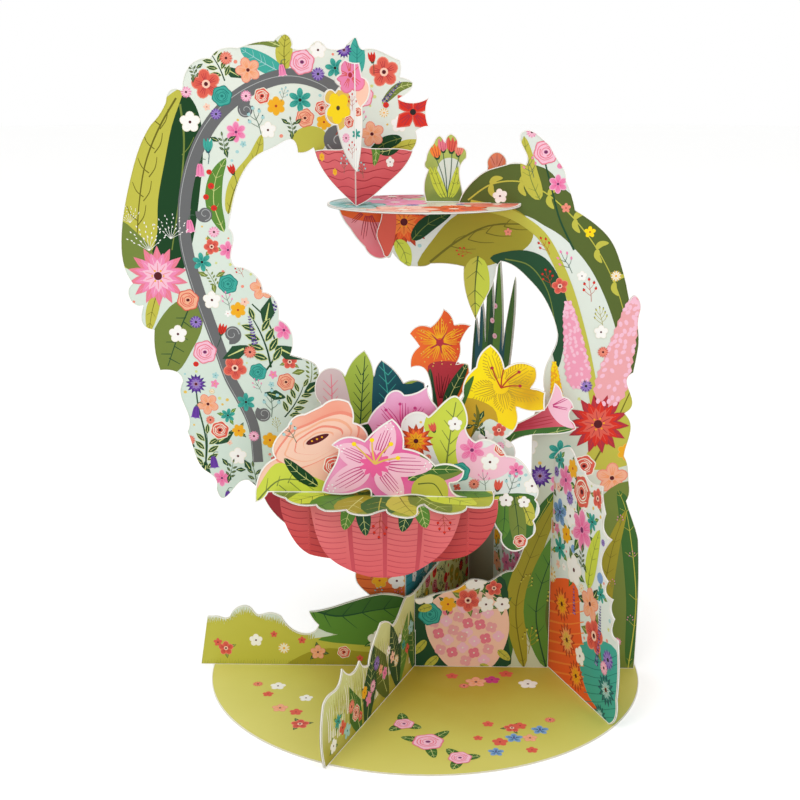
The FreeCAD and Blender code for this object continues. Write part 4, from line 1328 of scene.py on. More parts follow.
@dataclass
class Wreath:
    """The C-shaped flower ring: foliage along its cut edge and loose flowers on a mint field."""

    ground: PrintedField = PrintedField("print_mint_field", "D2E4D8", 0.55, to_code="E6ECE0",
        near=60, far=230, cloud_mm=25, cloud=0.8)

    def build(self) -> None:
        """Prints the ring from its big leaves up to its small flowers."""
        s = Sheet("wreath", "ring_panel", FRONT, "panel_card", self.ground, 0.25, seed=11)
        self.leaves(s)
        self.support(s)
        self.flowers(s)
        s.area(Ink.RIB_DEEP, [(252, 486), (300, 482), (304, 545), (286, 536), (268, 516),
            (256, 500)])
        s.strew([*SPRIGS, DARK_TWIG], 900, 12, 18, 0.42)
        s.strew(LEAFY, 600, 6, 8, 0.9)
        s.strew(SPRIGS, 1200, 7, 11, 0.5)
        s.strew([*SMALL, *DAISIES], 1400, 3, 5.5, 0.85)
        s.strew(SPECKS, 1600, 1.1, 2, 1.2)
        s.many(WHITE_FERN, [(147, 236, 15, 6), (172, 226, 13, -8), (128, 214, 9, 12)])
        s.build()

    def leaves(self, s: Sheet) -> None:
        """Prints the foliage that the cut edge follows."""
        s.area(Ink.FOREST, [(176, 92), (190, 97), (200, 118), (203, 150), (200, 190), (193, 240),
            (180, 272), (150, 262), (152, 200), (158, 150), (165, 118)])
        s.area(Ink.LIME, [(183, 90), (172, 125), (165, 160), (158, 200), (156, 240), (140, 268),
            (118, 262), (118, 225), (124, 185), (135, 148), (152, 115), (168, 96)])
        s.stem(Ink.OLIVE_DEEP, [(176, 98), (158, 130), (145, 165), (139, 205), (137, 240)], 2, 1)
        for k in range(5):
            x, y = 160 - 5.5 * k, 125 + 24 * k
            s.veins(Ink.OLIVE_DEEP, [[(x, y), (x - 7, y - 6), (x - 11, y - 15)], [(x, y + 4),
                (x + 6, y - 5), (x + 8, y - 16)]], 1.1, 0.6)
            s.stem(Ink.MOSS, [(183 - k, y + 6), (190 - k, y - 2), (195 - k, y - 12)], 1, 0.6)
        s.stem(Ink.MOSS, [(180, 104), (184, 140), (181, 185), (172, 250)], 2.2, 1.2)
        s.area(Ink.MOSS, [(120, 222), (136, 232), (152, 250), (150, 268), (130, 270), (117, 252)])
        s.area(Ink.MOSS, [(176, 302), (200, 308), (202, 328), (192, 350), (178, 371), (160, 371),
            (153, 350), (155, 328)])
        s.stem(Ink.PINE, [(190, 306), (180, 330), (168, 366)], 1.5, 0.8)
        for k in range(4):
            s.veins(Ink.PINE, [[(186 - 5 * k, 318 + 12 * k), (176 - 5 * k, 318 + 12 * k)],
                [(184 - 5 * k, 322 + 12 * k), (192 - 4 * k, 328 + 12 * k)]], 1, 0.6)
        s.leaf(Ink.LIME, [(158, 290), (152, 312), (149, 332)], 13, Ink.OLIVE_DEEP, 3)
        s.leaf(Ink.LEAF, [(224, 232), (214, 205), (216, 178), (226, 158)], 17, Ink.LIME_PALE, 5)
        s.leaf(Ink.LIME, [(228, 214), (236, 186), (254, 160), (262, 134)], 17, Ink.OLIVE_DEEP, 5)
        s.leaf(Ink.LIME, [(285, 70), (284, 50), (286, 34)], 17, Ink.OLIVE_DEEP, 4)
        s.leaf(Ink.TEAL, [(284, 74), (262, 62), (240, 48)], 17, Ink.SKY, 6)
        s.leaf(Ink.MOSS, [(280, 46), (262, 40), (240, 44)], 9, Ink.LIME_PALE, 3)
        s.leaf(Ink.TEAL, [(357, 76), (357, 55), (357, 36)], 16, Ink.TEAL_DEEP, 6)
        s.area(Ink.LIME, [(290, 142), (298, 130), (312, 126), (325, 132), (324, 148), (312, 154),
            (298, 153)])
        s.leaf(Ink.LIME, [(390, 150), (408, 145), (424, 142)], 11, Ink.OLIVE_DEEP, 3)
        s.leaf(Ink.FOREST, [(402, 138), (384, 144), (366, 158)], 13, Ink.MOSS, 3)
        s.leaf(Ink.MOSS, [(382, 104), (398, 88), (414, 84)], 9, Ink.LIME_PALE, 4)

    def support(self, s: Sheet) -> None:
        """Prints the dark stem that carries the ring, with coils at its side."""
        s.stem(Ink.GREY, [(350, 104), (330, 87), (305, 77), (280, 77), (255, 86), (232, 101),
            (212, 122), (197, 150), (188, 180), (184, 212), (186, 245), (195, 280), (208, 318),
            (220, 350), (230, 378), (243, 402), (254, 428), (258, 462)], 15, 11, Ink.GREY_LIGHT)
        for x, y, r, turn in ((338, 141, 13, 90), (205, 214, 8, 160), (232, 334, 9, 250),
                (246, 110, 8, 60), (264, 414, 8, 130)):
            s.add(Curl(2, turns=1.4), x, y, r, turn)

    def flowers(self, s: Sheet) -> None:
        """Prints the larger flowers, loosely spread."""
        s.stem(Ink.PINE, [(205, 476), (206, 440), (198, 405), (196, 384)], 2, 1.4)
        s.stem(Ink.PINE, [(262, 376), (276, 352), (268, 322), (252, 304)], 2, 1.4)
        for x, y, size, turn in ((206, 450, 24, -6), (262, 340, 30, 20), (296, 400, 22, -30),
                (215, 62, 20, 30)):
            s.add(DARK_TWIG, x, y, size, turn)
        s.add(Dahlia(5, Ink.ROSE, Ink.PINK, Ink.PINK_PALE), 158, 276, 31)
        s.lay((CORAL_FLOWER, [(206, 84, 14, 12), (235, 368, 12, 40), (384, 72, 14, 8)]),
            (WHITE_FLOWER, [(190, 122, 10), (268, 130, 8), (212, 300, 9), (178, 334, 9), (250, 262,
            6), (238, 456, 9), (318, 50, 8), (399, 124, 8)]), (PEACH_FLOWER, [(248, 70, 12, 20),
            (262, 288, 12, 8), (208, 404, 11, 30), (372, 134, 12, 12)]), (TEAL_FLOWER,
            [(300, 100, 12), (202, 262, 10, 10), (246, 402, 10), (335, 68, 10, 20)]), (PINK_FLOWER,
            [(236, 132, 10), (228, 250, 9), (284, 330, 10, 20), (222, 478, 9)]), (GOLD_FLOWER,
            [(276, 106, 9), (238, 310, 8), (270, 440, 8), (324, 122, 7.5)]), (RED_STAR,
            [(413, 112, 21, 43)]), (ROSES[0], [(220, 430, 10), (322, 108, 7.5), (262, 96, 8)]),
            (ROSES[1], [(188, 300, 11), (305, 118, 9), (286, 382, 9)]), (ROSES[2], [(222, 96, 10),
            (228, 284, 10), (258, 372, 9)]), (ROSES[3], [(302, 62, 12), (205, 352, 12), (362, 96,
            11)]), (Dahlia(5, Ink.VIOLET, Ink.PURPLE, Ink.LAVENDER), [(196, 384, 11), (344, 50,
            8)]), (Bell(4, Ink.PURPLE, Ink.VIOLET, Ink.LAVENDER), [(196, 412, 8, -8), (214, 462, 8,
            6), (228, 496, 7, 0)]), (Bell(4), [(190, 226, 8, 6), (200, 170, 8, 0), (282, 70, 7,
            8)]), (LAVENDER_SPIKE, [(278, 300, 17, -30), (252, 330, 14, 10), (392, 92, 12, -40)]),
            (Tulip(4, Ink.TEAL, Ink.TEAL_DEEP, Ink.PETROL, 1.2), [(208, 146, 8, 0), (300, 352, 8,
            -30)]), (Tulip(4, Ink.RED, Ink.MAROON, Ink.PINE, 1.6), [(232, 170, 6, 20), (222, 330,
            7, -16), (372, 58, 6, 8), (268, 468, 6, -60)]), (DAISIES[0], [(246, 96, 6), (214, 232,
            6), (276, 270, 6), (186, 92, 6), (254, 436, 6)]), (DAISIES[1], [(226, 58, 7),
            (250, 352, 7), (190, 440, 6)]), (DAISIES[3], [(318, 74, 7), (216, 114, 6), (196, 322,
            7), (300, 420, 6)]), (Dot(2, Ink.RED, Ink.CRIMSON), [(211, 186, 3.4), (206, 197, 3),
            (214, 208, 3.2), (209, 172, 2.8), (386, 105, 3), (196, 364, 3)]))


@dataclass
class Arch:
    """The main standing panel: hedge, flowering bush, flower bed and the leaf arch above."""

    ground: PrintedField = PrintedField("print_mint_arch_field", "C9D0B0", 0.55, to_code="E3EBE2",
        near=0, far=150, cloud_mm=30, cloud=0.5)

    def build(self) -> None:
        """Prints the panel from its large leaves to its small flowers."""
        s = Sheet("arch", "back_panel", FRONT, "panel_card", self.ground, 0.25, seed=23)
        self.over_arch(s)
        self.flower_bed(s)
        self.trunk(s)
        self.hedge(s)
        self.bush(s)
        s.strew(SPRIGS, 500, 8, 13, 0.6)
        s.strew([*SMALL, *DAISIES], 500, 3, 5, 1.0)
        s.strew(SPECKS, 900, 1.2, 2.2, 1.2)
        s.build()

    def over_arch(self, s: Sheet) -> None:
        """Prints the leaves of the arch's upper run."""
        s.area(Ink.MOSS_DEEP, [(456, 214), (466, 190), (490, 168), (524, 164), (548, 170),
            (566, 190), (596, 214), (616, 246), (632, 285), (646, 330), (650, 372), (634, 385),
            (622, 350), (608, 305), (590, 268), (566, 240), (545, 226), (518, 214)])
        s.stem(Ink.LIME, [(468, 200), (492, 184), (522, 182), (550, 196), (577, 222), (600, 254),
            (618, 292), (628, 330)], 1.6, 0.7)
        for x, y in ((490, 184), (520, 182), (548, 195), (574, 219), (596, 249), (613, 282)):
            s.leaf(Ink.LIME, [(x, y), (x + 5, y - 5), (x + 13, y - 6)], 6)
            s.leaf(Ink.LIME, [(x + 2, y), (x + 1, y + 7), (x + 6, y + 14)], 6)
        s.area(Ink.OLIVE, [(418, 268), (434, 238), (458, 214), (494, 204), (520, 212), (533, 228),
            (528, 246), (500, 262), (462, 270)])
        s.stem(Ink.OLIVE_DEEP, [(430, 262), (456, 242), (488, 226), (524, 224)], 2.6, 1.2)
        for k in range(4):
            x, y = 450 + 18 * k, 246 - 6.5 * k
            s.veins(Ink.OLIVE_DEEP, [[(x, y), (x + 8, y - 8), (x + 20, y - 12 + k)],
                [(x, y), (x + 13, y + 3), (x + 26, y + 3)]], 1, 0.4)
        s.stem(Ink.LIME, [(470, 204), (505, 212), (528, 224), (545, 240), (560, 268), (572, 300),
            (584, 345), (592, 385), (596, 410)], 9, 10)
        s.area(Ink.PINE, [(490, 258), (520, 250), (545, 258), (560, 280), (568, 310), (564, 345),
            (557, 368), (548, 335), (535, 300), (518, 276)])
        s.stem(Ink.MOSS, [(505, 259), (530, 266), (548, 292), (556, 330)], 1.4, 0.7)
        s.leaf(Ink.LIME_BRIGHT, [(478, 256), (475, 290), (476, 324)], 29, Ink.MOSS_DEEP, 5,
            Ink.LIME)
        s.add(Dahlia(5, Ink.RUST, Ink.ORANGE, Ink.ORANGE_WARM), 404, 222, 27)
        s.area(Ink.CORAL, [(372, 210), (394, 210), (395, 236), (388, 256), (378, 250), (372, 232)])
        s.leaf(Ink.FOREST, [(412, 240), (428, 224), (452, 212)], 16, Ink.MOSS, 3)
        s.leaf(Ink.LIME_BRIGHT, [(396, 240), (404, 252), (408, 270)], 15, Ink.MOSS, 3)
        s.leaf(Ink.LIME, [(540, 200), (530, 176), (524, 136)], 17, Ink.MOSS, 5)
        s.stem(Ink.PINE, [(574, 250), (560, 220), (552, 190), (544, 158)], 2, 1.4)
        s.mix((ROSES[3], 546, 152, 12, 0), (PINK_FLOWER, 558, 184, 9, 0), (DAISIES[0], 532, 132, 6,
            0), (SPRIGS[1], 530, 166, 12, 20), (Dot(2, Ink.PINK, Ink.ROSE), 560, 166, 3, 0),
            (WHITE_FLOWER, 500, 196, 7, 10), (bloom(Ink.YELLOW, Ink.RUST), 590, 232, 6, 0),
            (bloom(Ink.CORAL_PALE, Ink.CRIMSON), 566, 208, 5, 0), (DAISIES[2], 616, 276, 6, 0),
            (CORAL_FLOWER, 560, 286, 8, 10), (SPRIGS[3], 545, 246, 10, 30), (SPRIGS[3], 590, 290,
            12, 8), (WHITE_FLOWER, 582, 276, 5, 0), (SPRIGS[1], 566, 262, 13, 30), (SPRIGS[0], 601,
            318, 12, 10), (SPRIGS[3], 548, 278, 10, 20), (bloom(Ink.CORAL_PALE, Ink.MAROON), 508,
            232, 4, 0), (SPRIGS[3], 464, 252, 8, 80))

    def flower_bed(self, s: Sheet) -> None:
        """Prints the tall pink plumes and the flowers below them."""
        s.area(Ink.LIME, [(628, 380), (640, 395), (638, 440), (634, 462), (600, 470), (584, 462),
            (600, 430), (616, 400)])
        s.stem(Ink.OLIVE_DEEP, [(592, 466), (612, 430), (630, 392)], 2, 1)
        s.add(Plume(3, Ink.BLUSH, Ink.PINK_PALE, 0.27), 621, 350, 60, -13)
        s.add(Plume(3, Ink.PINK_SOFT, Ink.PINK_PALE, 0.27), 574, 345, 46, 10)
        s.add(Plume(3, Ink.GOLD, Ink.YELLOW, 0.24), 556, 388, 28, 6)
        s.add(Dahlia(5, Ink.CRIMSON, Ink.RED, Ink.CORAL), 598, 424, 32, 10)
        s.mix((PEACH_FLOWER, 612, 478, 16, 0), (ROSES[0], 584, 466, 12, 0), (TEAL_FLOWER, 560, 452,
            13, 0), (WHITE_FLOWER, 528, 446, 10, 0), (WHITE_FLOWER, 601, 332, 7, 0), (DAISIES[1],
            603, 352, 6, 0), (Dahlia(5, Ink.VIOLET, Ink.PURPLE, Ink.LAVENDER), 540, 476, 13, 0),
            (PINK_FLOWER, 562, 484, 13, 0), (GOLD_FLOWER, 626, 452, 9, 0), (DAISIES[3], 586, 386,
            7, 0), (WHITE_FLOWER, 510, 430, 8, 0), (DAISIES[0], 544, 424, 8, 0))

    def trunk(self, s: Sheet) -> None:
        """Prints the tall leaves between the bush and the panel's right edge."""
        s.area(Ink.MOSS, [(604, 494), (634, 484), (642, 540), (642, 668), (596, 668), (600, 590),
            (594, 530)])
        for points, ink, width in (([(628, 668), (636, 600), (628, 520), (618, 490)],
                Ink.LEAF_DEEP, 22), ([(606, 668), (604, 600), (612, 550), (626, 510)], Ink.OLIVE,
                18), ([(506, 668), (508, 600), (528, 540), (556, 490)], Ink.LEAF_DEEP, 26),
                ([(524, 668), (516, 606), (534, 548), (566, 484)], Ink.OLIVE, 24),
                ([(546, 668), (536, 612), (552, 556), (578, 510)], Ink.LEAF, 28),
                ([(566, 668), (556, 620), (566, 570), (578, 540)], Ink.MOSS_DEEP, 24)):
            s.leaf(ink, points, width, {Ink.OLIVE: Ink.OLIVE_DEEP, Ink.LEAF: Ink.PINE}.get(ink,
                Ink.LIME), 7)
        for x, y in ((620, 520), (632, 556), (612, 584), (630, 620), (616, 642)):
            s.add(DAISIES[0] if y % 4 else SPRIGS[1], x, y, 6)
        for x, y, r, t in ((530, 640, 16, -6), (554, 600, 14, 10), (526, 584, 12, -20)):
            s.add(SPRIGS[0], x, y, r, t)

    def hedge(self, s: Sheet) -> None:
        """Prints the low hedge of grass with a few flowers."""
        s.area(Ink.MINT, [(190, 650), (190, 600), (246, 590), (300, 605), (316, 616), (330, 650)],
            2)
        s.area(Ink.LIME, [(190, 672), (190, 626), (206, 622), (224, 625), (240, 615), (256, 616),
            (270, 623), (280, 625), (292, 634), (306, 640), (330, 636), (420, 636), (420, 672)], 2)
        s.area(Ink.OLIVE, [(290, 672), (300, 656), (330, 648), (370, 652), (420, 646), (420, 672)],
            3)
        s.area(Ink.LEAF, [(318, 640), (350, 632), (390, 622), (416, 616), (418, 644), (380, 646)],
            3)
        s.leaf(Ink.LEAF_DEEP, [(304, 606), (336, 616), (376, 610), (420, 604)], 44, Ink.PINE, 6,
            Ink.LEAF)
        with s.together():
            for k in range(62):
                s.add(Grass(1, Ink.LIME, 5, 0.6, 0.24), 204 + 1.75 * k,
                    625 - 9 * math.exp(-((204 + 1.75 * k - 246) / 12) ** 2) + 2.5 * math.sin(2.3
                    * k) + 16 * max(0, (k - 40) / 22), 9, 8 * math.sin(k))
            for k in range(24):
                s.add(Grass(1, Ink.OLIVE if k % 2 else Ink.MOSS, 4, 0.6, 0.08), 204 + 9 * k, 664,
                    7)
        s.mix((LEAFY[2], 226, 648, 8), (WHITE_FLOWER, 256, 640, 7), (DAISIES[2], 284, 648, 7),
            (bloom(Ink.CORAL), 218, 642, 5), (LEAFY[1], 318, 652, 8), (bloom(Ink.CORAL), 302, 640,
            4.5), (ROSES[0], 344, 652, 7), (bloom(Ink.CORAL), 360, 658, 4), (LEAFY[0], 378, 640,
            11), (bloom(Ink.CORAL), 274, 634, 4), (DAISIES[1], 408, 656, 6))

    def bush(self, s: Sheet) -> None:
        """Prints a round pink flowering bush behind the crossing of the sheets."""
        s.area(Ink.PINE, [(404, 590), (424, 580), (470, 574), (505, 580), (508, 640), (504, 668),
            (420, 668), (404, 650)])
        s.area(Ink.PEACH_PALE, [(428, 606), (450, 590), (480, 590), (504, 604), (509, 630),
            (500, 656), (486, 669), (454, 669), (436, 652), (426, 630)])
        for k in range(26):
            a, r = 2.4 * k, 6.6 * math.sqrt(k)
            s.add(bloom([Ink.PINK_PALE, Ink.BLUSH, Ink.ROSE][k % 3], Ink.CREAM, 4, fat=1.2),
                467 + r * math.cos(a) * 1.05, 632 + r * math.sin(a) * 0.98, 6.6, 30 * k)
        for k, (x, y) in enumerate(((424, 594), (440, 582), (458, 588), (476, 580), (494, 588),
                (502, 604), (430, 614), (448, 604), (486, 604), (468, 600))):
            flower = [LEAFY[0], ROSES[2], LEAFY[5], LEAFY[0], LEAFY[2]][k % 5]
            s.add(flower, x, y, 12.5 if k % 3 == 0 else 8.5, 20 * k)
        for x, y, ex, ey in ((426, 640, 414, 654), (438, 656, 424, 668), (498, 650, 510, 660),
                (432, 606, 418, 610), (480, 664, 492, 672)):
            s.leaf(Ink.LIME, [(x, y), ((x + ex) / 2, (y + ey) / 2), (ex, ey)], 9, Ink.MOSS, 3)


@dataclass
class Fins:
    """The two crossing sheets and the spine behind the panel."""

    grass: PrintedField = PrintedField("print_grass_field", "A89D2C", 0.55, to_code="E4EBA8",
        near=0, far=34, cloud_mm=8, cloud=0.5)
    bed: PrintedField = PrintedField("print_pale_bed_field", "DCE9E4", 0.55, to_code="EEF2EC",
        near=0, far=90, cloud_mm=20, cloud=0.6)
    # The spine's ground runs from grey, painted shade on its bare white card, up to green under
    # the blades.
    board: PrintedField = PrintedField("spine_field_painted_shade", "8D8A76", 0.6, mid_code="B9B8AA",
        to_code="5F8A45", near=10, far=110, cloud_mm=30, cloud=0.2)

    def build(self) -> None:
        """Prints the fins and the spine."""
        self.left()
        self.right()
        self.spine()

    def left(self) -> None:
        """Prints the grassy left fin, and the dark flower pattern of its rear half."""
        s = Sheet("grass_fin", "left_fin", (0.94, -0.34, 0), "panel_card", self.grass, 0.5, seed=5)
        with s.together():
            for k in range(44):
                s.add(Grass(1, [Ink.WHITE, Ink.LIME, Ink.LIME_PALE, Ink.OLIVE][k % 4], 5, 0.5,
                    0.09), 0, 0, 20, 4 * math.sin(k), (-77 + 1.8 * k, 15 + 4 * math.sin(k * 0.9)))
        for ink, u, v, tall, lean in ((Ink.MOSS_DEEP, -36, 14, 16, 30), (Ink.LEAF, -14, 12, 14,
                -22), (Ink.LEAF_DEEP, -58, 9, 12, 24), (Ink.PINE, -45, 12, 15, -14), (Ink.PINE,
                -22, 14, 15, 14), (Ink.LEAF_DEEP, -4, 12, 13, 10)):
            s.blade(ink, u, v, tall, lean, Ink.LIME_PALE, 0.42)
        for k in range(20):
            s.add([*LEAFY, *SMALL, *DAISIES, ROSES[0]][k * 3 % 16], 0, 0, s.rnd.uniform(5, 8.5), 0,
                (-76 + 3.7 * k, (5, 12, 8)[k % 3] + (0 if k < 9 else 6)))
        dark = [Rose(3, Ink.CRIMSON, Ink.BLUSH, Ink.BLACK), DARK_TWIG, Dot(2, Ink.RED, Ink.MAROON),
            Dahlia(5, Ink.MAROON, Ink.CRIMSON, Ink.RED), Dot(2, Ink.OLIVE, Ink.GOLD),
            Twig(3, Ink.BLACK, Ink.PINE, None, 2, 0.2, 0.4)]
        s.strew(dark, 600, 5, 9, 0.7, ((-1, 1), (67, 50)))
        s.strew(dark[2:5:2], 500, 2, 3, 1, ((-1, 1), (67, 50)))
        s.build()

    def right(self) -> None:
        """Prints the tall right fin, its flowers growing from low orange and teal heads."""
        s = Sheet("flower_fin", "right_fin", (-0.93, -0.36, 0), "panel_card", self.bed, 0.5,
            seed=7)
        s.area(Ink.ORANGE, [(546, 590), (562, 578), (578, 590), (582, 640), (600, 690), (612, 722),
            (560, 690), (546, 660)])
        s.area(Ink.TEAL, [(578, 650), (594, 640), (616, 650), (622, 690), (616, 730), (600, 712),
            (586, 690)])
        with s.together():
            for k in range(11):
                s.stem(Ink.ORANGE_WARM, [(548, 600 + 10 * k), (566, 604 + 10 * k),
                    (584, 600 + 11 * k)], 2.4, 1)
                s.stem(Ink.TEAL_DEEP, [(584, 656 + 9 * k), (600, 662 + 8 * k), (620, 654 + 9 * k)],
                    0.9, 0.6)
        for x, y, r, flower in ((562, 604, 19, Dahlia(5, Ink.RUST, Ink.ORANGE_WARM, Ink.GOLD)),
                (567, 640, 19, Dahlia(5, Ink.RUST, Ink.APRICOT, Ink.AMBER)), (576, 676, 17,
                Dahlia(5, Ink.RUST, Ink.ORANGE_WARM, Ink.GOLD)), (606, 690, 17, Dahlia(5,
                Ink.PETROL, Ink.TEAL_DEEP, Ink.SKY)), (600, 716, 13, Dahlia(5, Ink.PETROL,
                Ink.TEAL_DEEP, Ink.SKY)), (582, 492, 18, ROSES[0]), (566, 480, 15, LEAFY[4]),
                (560, 512, 15, BLUE_FLOWER), (582, 530, 21, LEAFY[4]), (560, 548, 13, LEAFY[3]),
                (574, 570, 16, LEAFY[0]), (590, 604, 17, LEAFY[1]), (594, 636, 18, LEAFY[2]),
                (570, 498, 8, DAISIES[3]), (580, 656, 10, WHITE_FLOWER), (608, 660, 11,
                DAISIES[3]), (552, 574, 10, DAISIES[2]), (604, 668, 8, DAISIES[0])):
            s.add(flower, x, y, r)
        s.leaf(Ink.LIME_BRIGHT, [(588, 588), (592, 560), (600, 530)], 22, Ink.MOSS, 5)
        s.many(LAVENDER_SPIKE, [(598, 650, 16, -8), (574, 600, 14, 6), (600, 620, 14, 0)])
        s.strew(LEAFY, 900, 9, 13, 0.8)
        s.strew([*SPRIGS, DARK_TWIG], 900, 9, 14, 0.55)
        s.strew([*SMALL, *DAISIES, Dot(2, Ink.BLUE), Dot(2, Ink.CORAL)], 1500, 4, 7, 0.85)
        s.strew(SPECKS, 900, 1.4, 2.4, 1.2)
        s.build()

    def spine(self) -> None:
        """Prints the blades of the rear spine; below them the ground's grey is painted shade."""
        s = Sheet("spine", "rear_spine", (-0.71, -0.7, 0), "panel_card", self.board, 0.25, seed=6)
        left, right = s.sides
        for k, ink in enumerate((Ink.LEAF_DEEP, Ink.PINE, Ink.PETROL, Ink.LEAF_DEEP, Ink.PINE,
                Ink.LEAF, Ink.PETROL, Ink.LEAF_DEEP)):
            u = left + 1.5 + (right - left - 3) * k / 7
            s.blade(ink, u, 102 + 4 * (k % 3), 48, 0, Ink.MOSS, 0.085, False)
        for k in range(8):
            s.add(Dot(2, Ink.PINK_PALE, Ink.ROSE), 0, 0, 3.4, 0, (left + 13 + 1.4 * (k % 2),
                88 + 6 * k))
        s.build()


@dataclass
class Basket:
    """The hanging basket: bowl, leaf collar and the standing flowers in it."""

    # The coral is the print, lifted lighter as painted light against the shade under the leaf
    # collar.
    bowl: PrintedField = PrintedField("print_coral_bowl_and_painted_light", "D9585F", 0.5, to_code="E8797A", near=44,
        far=70, cloud_mm=12, cloud=0.5)
    # The side sheet's red is darker than the front's: painted shade of the facets that turn away
    # from the light.
    wing: PrintedField = PrintedField("print_red_bowl_side_painted_shade", "C63D3C", 0.5, to_code="DA5E60",
        near=48, far=76, cloud_mm=12, cloud=0.5)
    rim_leaves: PrintedField = PrintedField("print_collar_leaves", "6F8233", 0.52,
        to_code="B5BC3C", along=(1, 0, 0), near=-60, far=30, cloud_mm=16, cloud=0.9)

    def build(self) -> None:
        """Builds bowl, collar and flowers."""
        self.front()
        self.wings()
        self.stand()
        self.collar()
        for ready in (self.pink_lily, self.peach_bloom, self.spray, self.mallow, self.yellow_lily,
                self.trumpets, self.rear_leaves):
            ready()

    def front(self) -> None:
        """Prints the bowl's front face with ribs, wicker lines and leaves over its rim."""
        s = Sheet("bowl_face", "bowl_front", (-0.1, -0.99, 0), "bowl_card", self.bowl, 0.0)
        left, right = s.sides
        cuts = [left + (right - left) * k for k in (0.02, 0.26, 0.5, 0.74, 0.98)]
        for a, b in zip(cuts, cuts[1:]):
            s.wicker(a + 0.9, b - 0.9, 72, 40, Ink.RIB)
        for k in (1, 2, 3):
            lean = (cuts[2] - cuts[k]) * 0.22
            s.streak(Ink.RIB, [(cuts[k], 75), (cuts[k] + lean * 0.3, 58), (cuts[k] + lean, 40)], 2,
                1, [(cuts[k], 40 + 2 * j) for j in range(18)], 0.9, 4)
        for x, y, ex, ey, ink in ((352, 500, 344, 530, Ink.LEAF), (361, 500, 366, 536, Ink.PINE),
                (410, 502, 402, 532, Ink.PINE), (419, 502, 426, 528, Ink.LEAF)):
            s.leaf(ink, [(x, y), ((x + ex) / 2, (y + ey) / 2), (ex, ey)], 15, Ink.LIME_PALE, 4)
        s.many(SPRIGS[3], [(380, 526, 13, 176), (444, 522, 12, 184)])
        s.many(DAISIES[2], [(356, 510, 5), (415, 512, 5)])
        s.build()

    def wings(self) -> None:
        """Prints the bowl's side sheet, its red and ribs darkened as painted shade, and its fold
        lines.
        """
        for name, way in (("bowl_side_middle", (-0.1, -0.99, 0)), ("bowl_side_left", (-0.48, -0.88,
                0)), ("bowl_side_right", (0.32, -0.95, 0))):
            s = Sheet(name, "bowl_wings", way, "bowl_card", self.wing, 0.0)
            left, right = s.sides
            cuts = [left, right] if right - left < 20 else [left + (right - left) * k / 4
                for k in range(5)]
            for a, b in zip(cuts, cuts[1:]):
                # The deeper rib colour is painted shade, like the field under it.
                s.wicker(a + 0.5, b - 0.5, 73, 46, Ink.RIB_DEEP, 2.4)
            for u in cuts[1:-1]:
                s.streak(Ink.RIB_DEEP, [(u, 75), (u, 62), (u, 46)], 1.2, 0.7, [(u, 46 + 2 * j)
                    for j in range(15)], 0.7, 4)
            s.build()

    def stand(self) -> None:
        """Prints the stand under the bowl: an orange face and a teal one."""
        for name, way, low, high, ink in (("stand_front", FRONT, "E4682F", "F27F3C", Ink.RUST),
                ("stand_side", (0.94, -0.34, 0), "2A8A9C", "3FA7B8", Ink.TEAL_DEEP)):
            ground = PrintedField("print_" + name, low, 0.5, to_code=high, near=5, far=62,
                cloud_mm=14, cloud=0.5)
            s = Sheet(name, "pot_pedestal", way, "bowl_card", ground, 0.3, seed=8)
            left, right = s.sides
            s.wicker(left + 0.5, right - 0.5, 60, 3, ink, 3.4)
            s.strew([GOLD_FLOWER, WHITE_FLOWER, *SPRIGS[1:3]], 120, 5, 9, 0.9, over=9)
            s.build()

    def collar(self) -> None:
        """Prints the ring of overlapping leaves round the bowl's rim."""
        s = Sheet("rim_leaves", "leaf_collar", (0, 0, 1), "leaf_card", self.rim_leaves, 0.34)
        inks = [(Ink.LEAF_DEEP, Ink.LIME), (Ink.LIME, Ink.OLIVE_DEEP), (Ink.MOSS, Ink.LIME_PALE),
            (Ink.LIME_BRIGHT, Ink.MOSS_DEEP), (Ink.LEAF, Ink.PINE), (Ink.OLIVE, Ink.LIME_PALE)]
        left, right = s.sides
        middle = (right + left) / 2
        for first in range(3):
            with s.together():
                for k in range(first * 9, first * 9 + 9):
                    u, v = -48 + 2.9 * k, -10 + 5 * math.sin(k * 1.7)
                    s.flat_leaf(*inks[(k * 5 + 2) % 6], (u, v + 8), (u + 6 * math.sin(k), v - 7),
                        9)
        with s.together():
            for k in range(13):
                a = math.radians(166 + 208 * k / 12)
                tip = (middle + (right - left) / 2 * 1.03 * math.cos(a), -8 + 37 * math.sin(a))
                s.flat_leaf(*inks[k % 6], (middle + 0.5 * (tip[0] - middle), -8 + 0.42 * (tip[1]
                    + 8)), tip, 15)
        s.build()

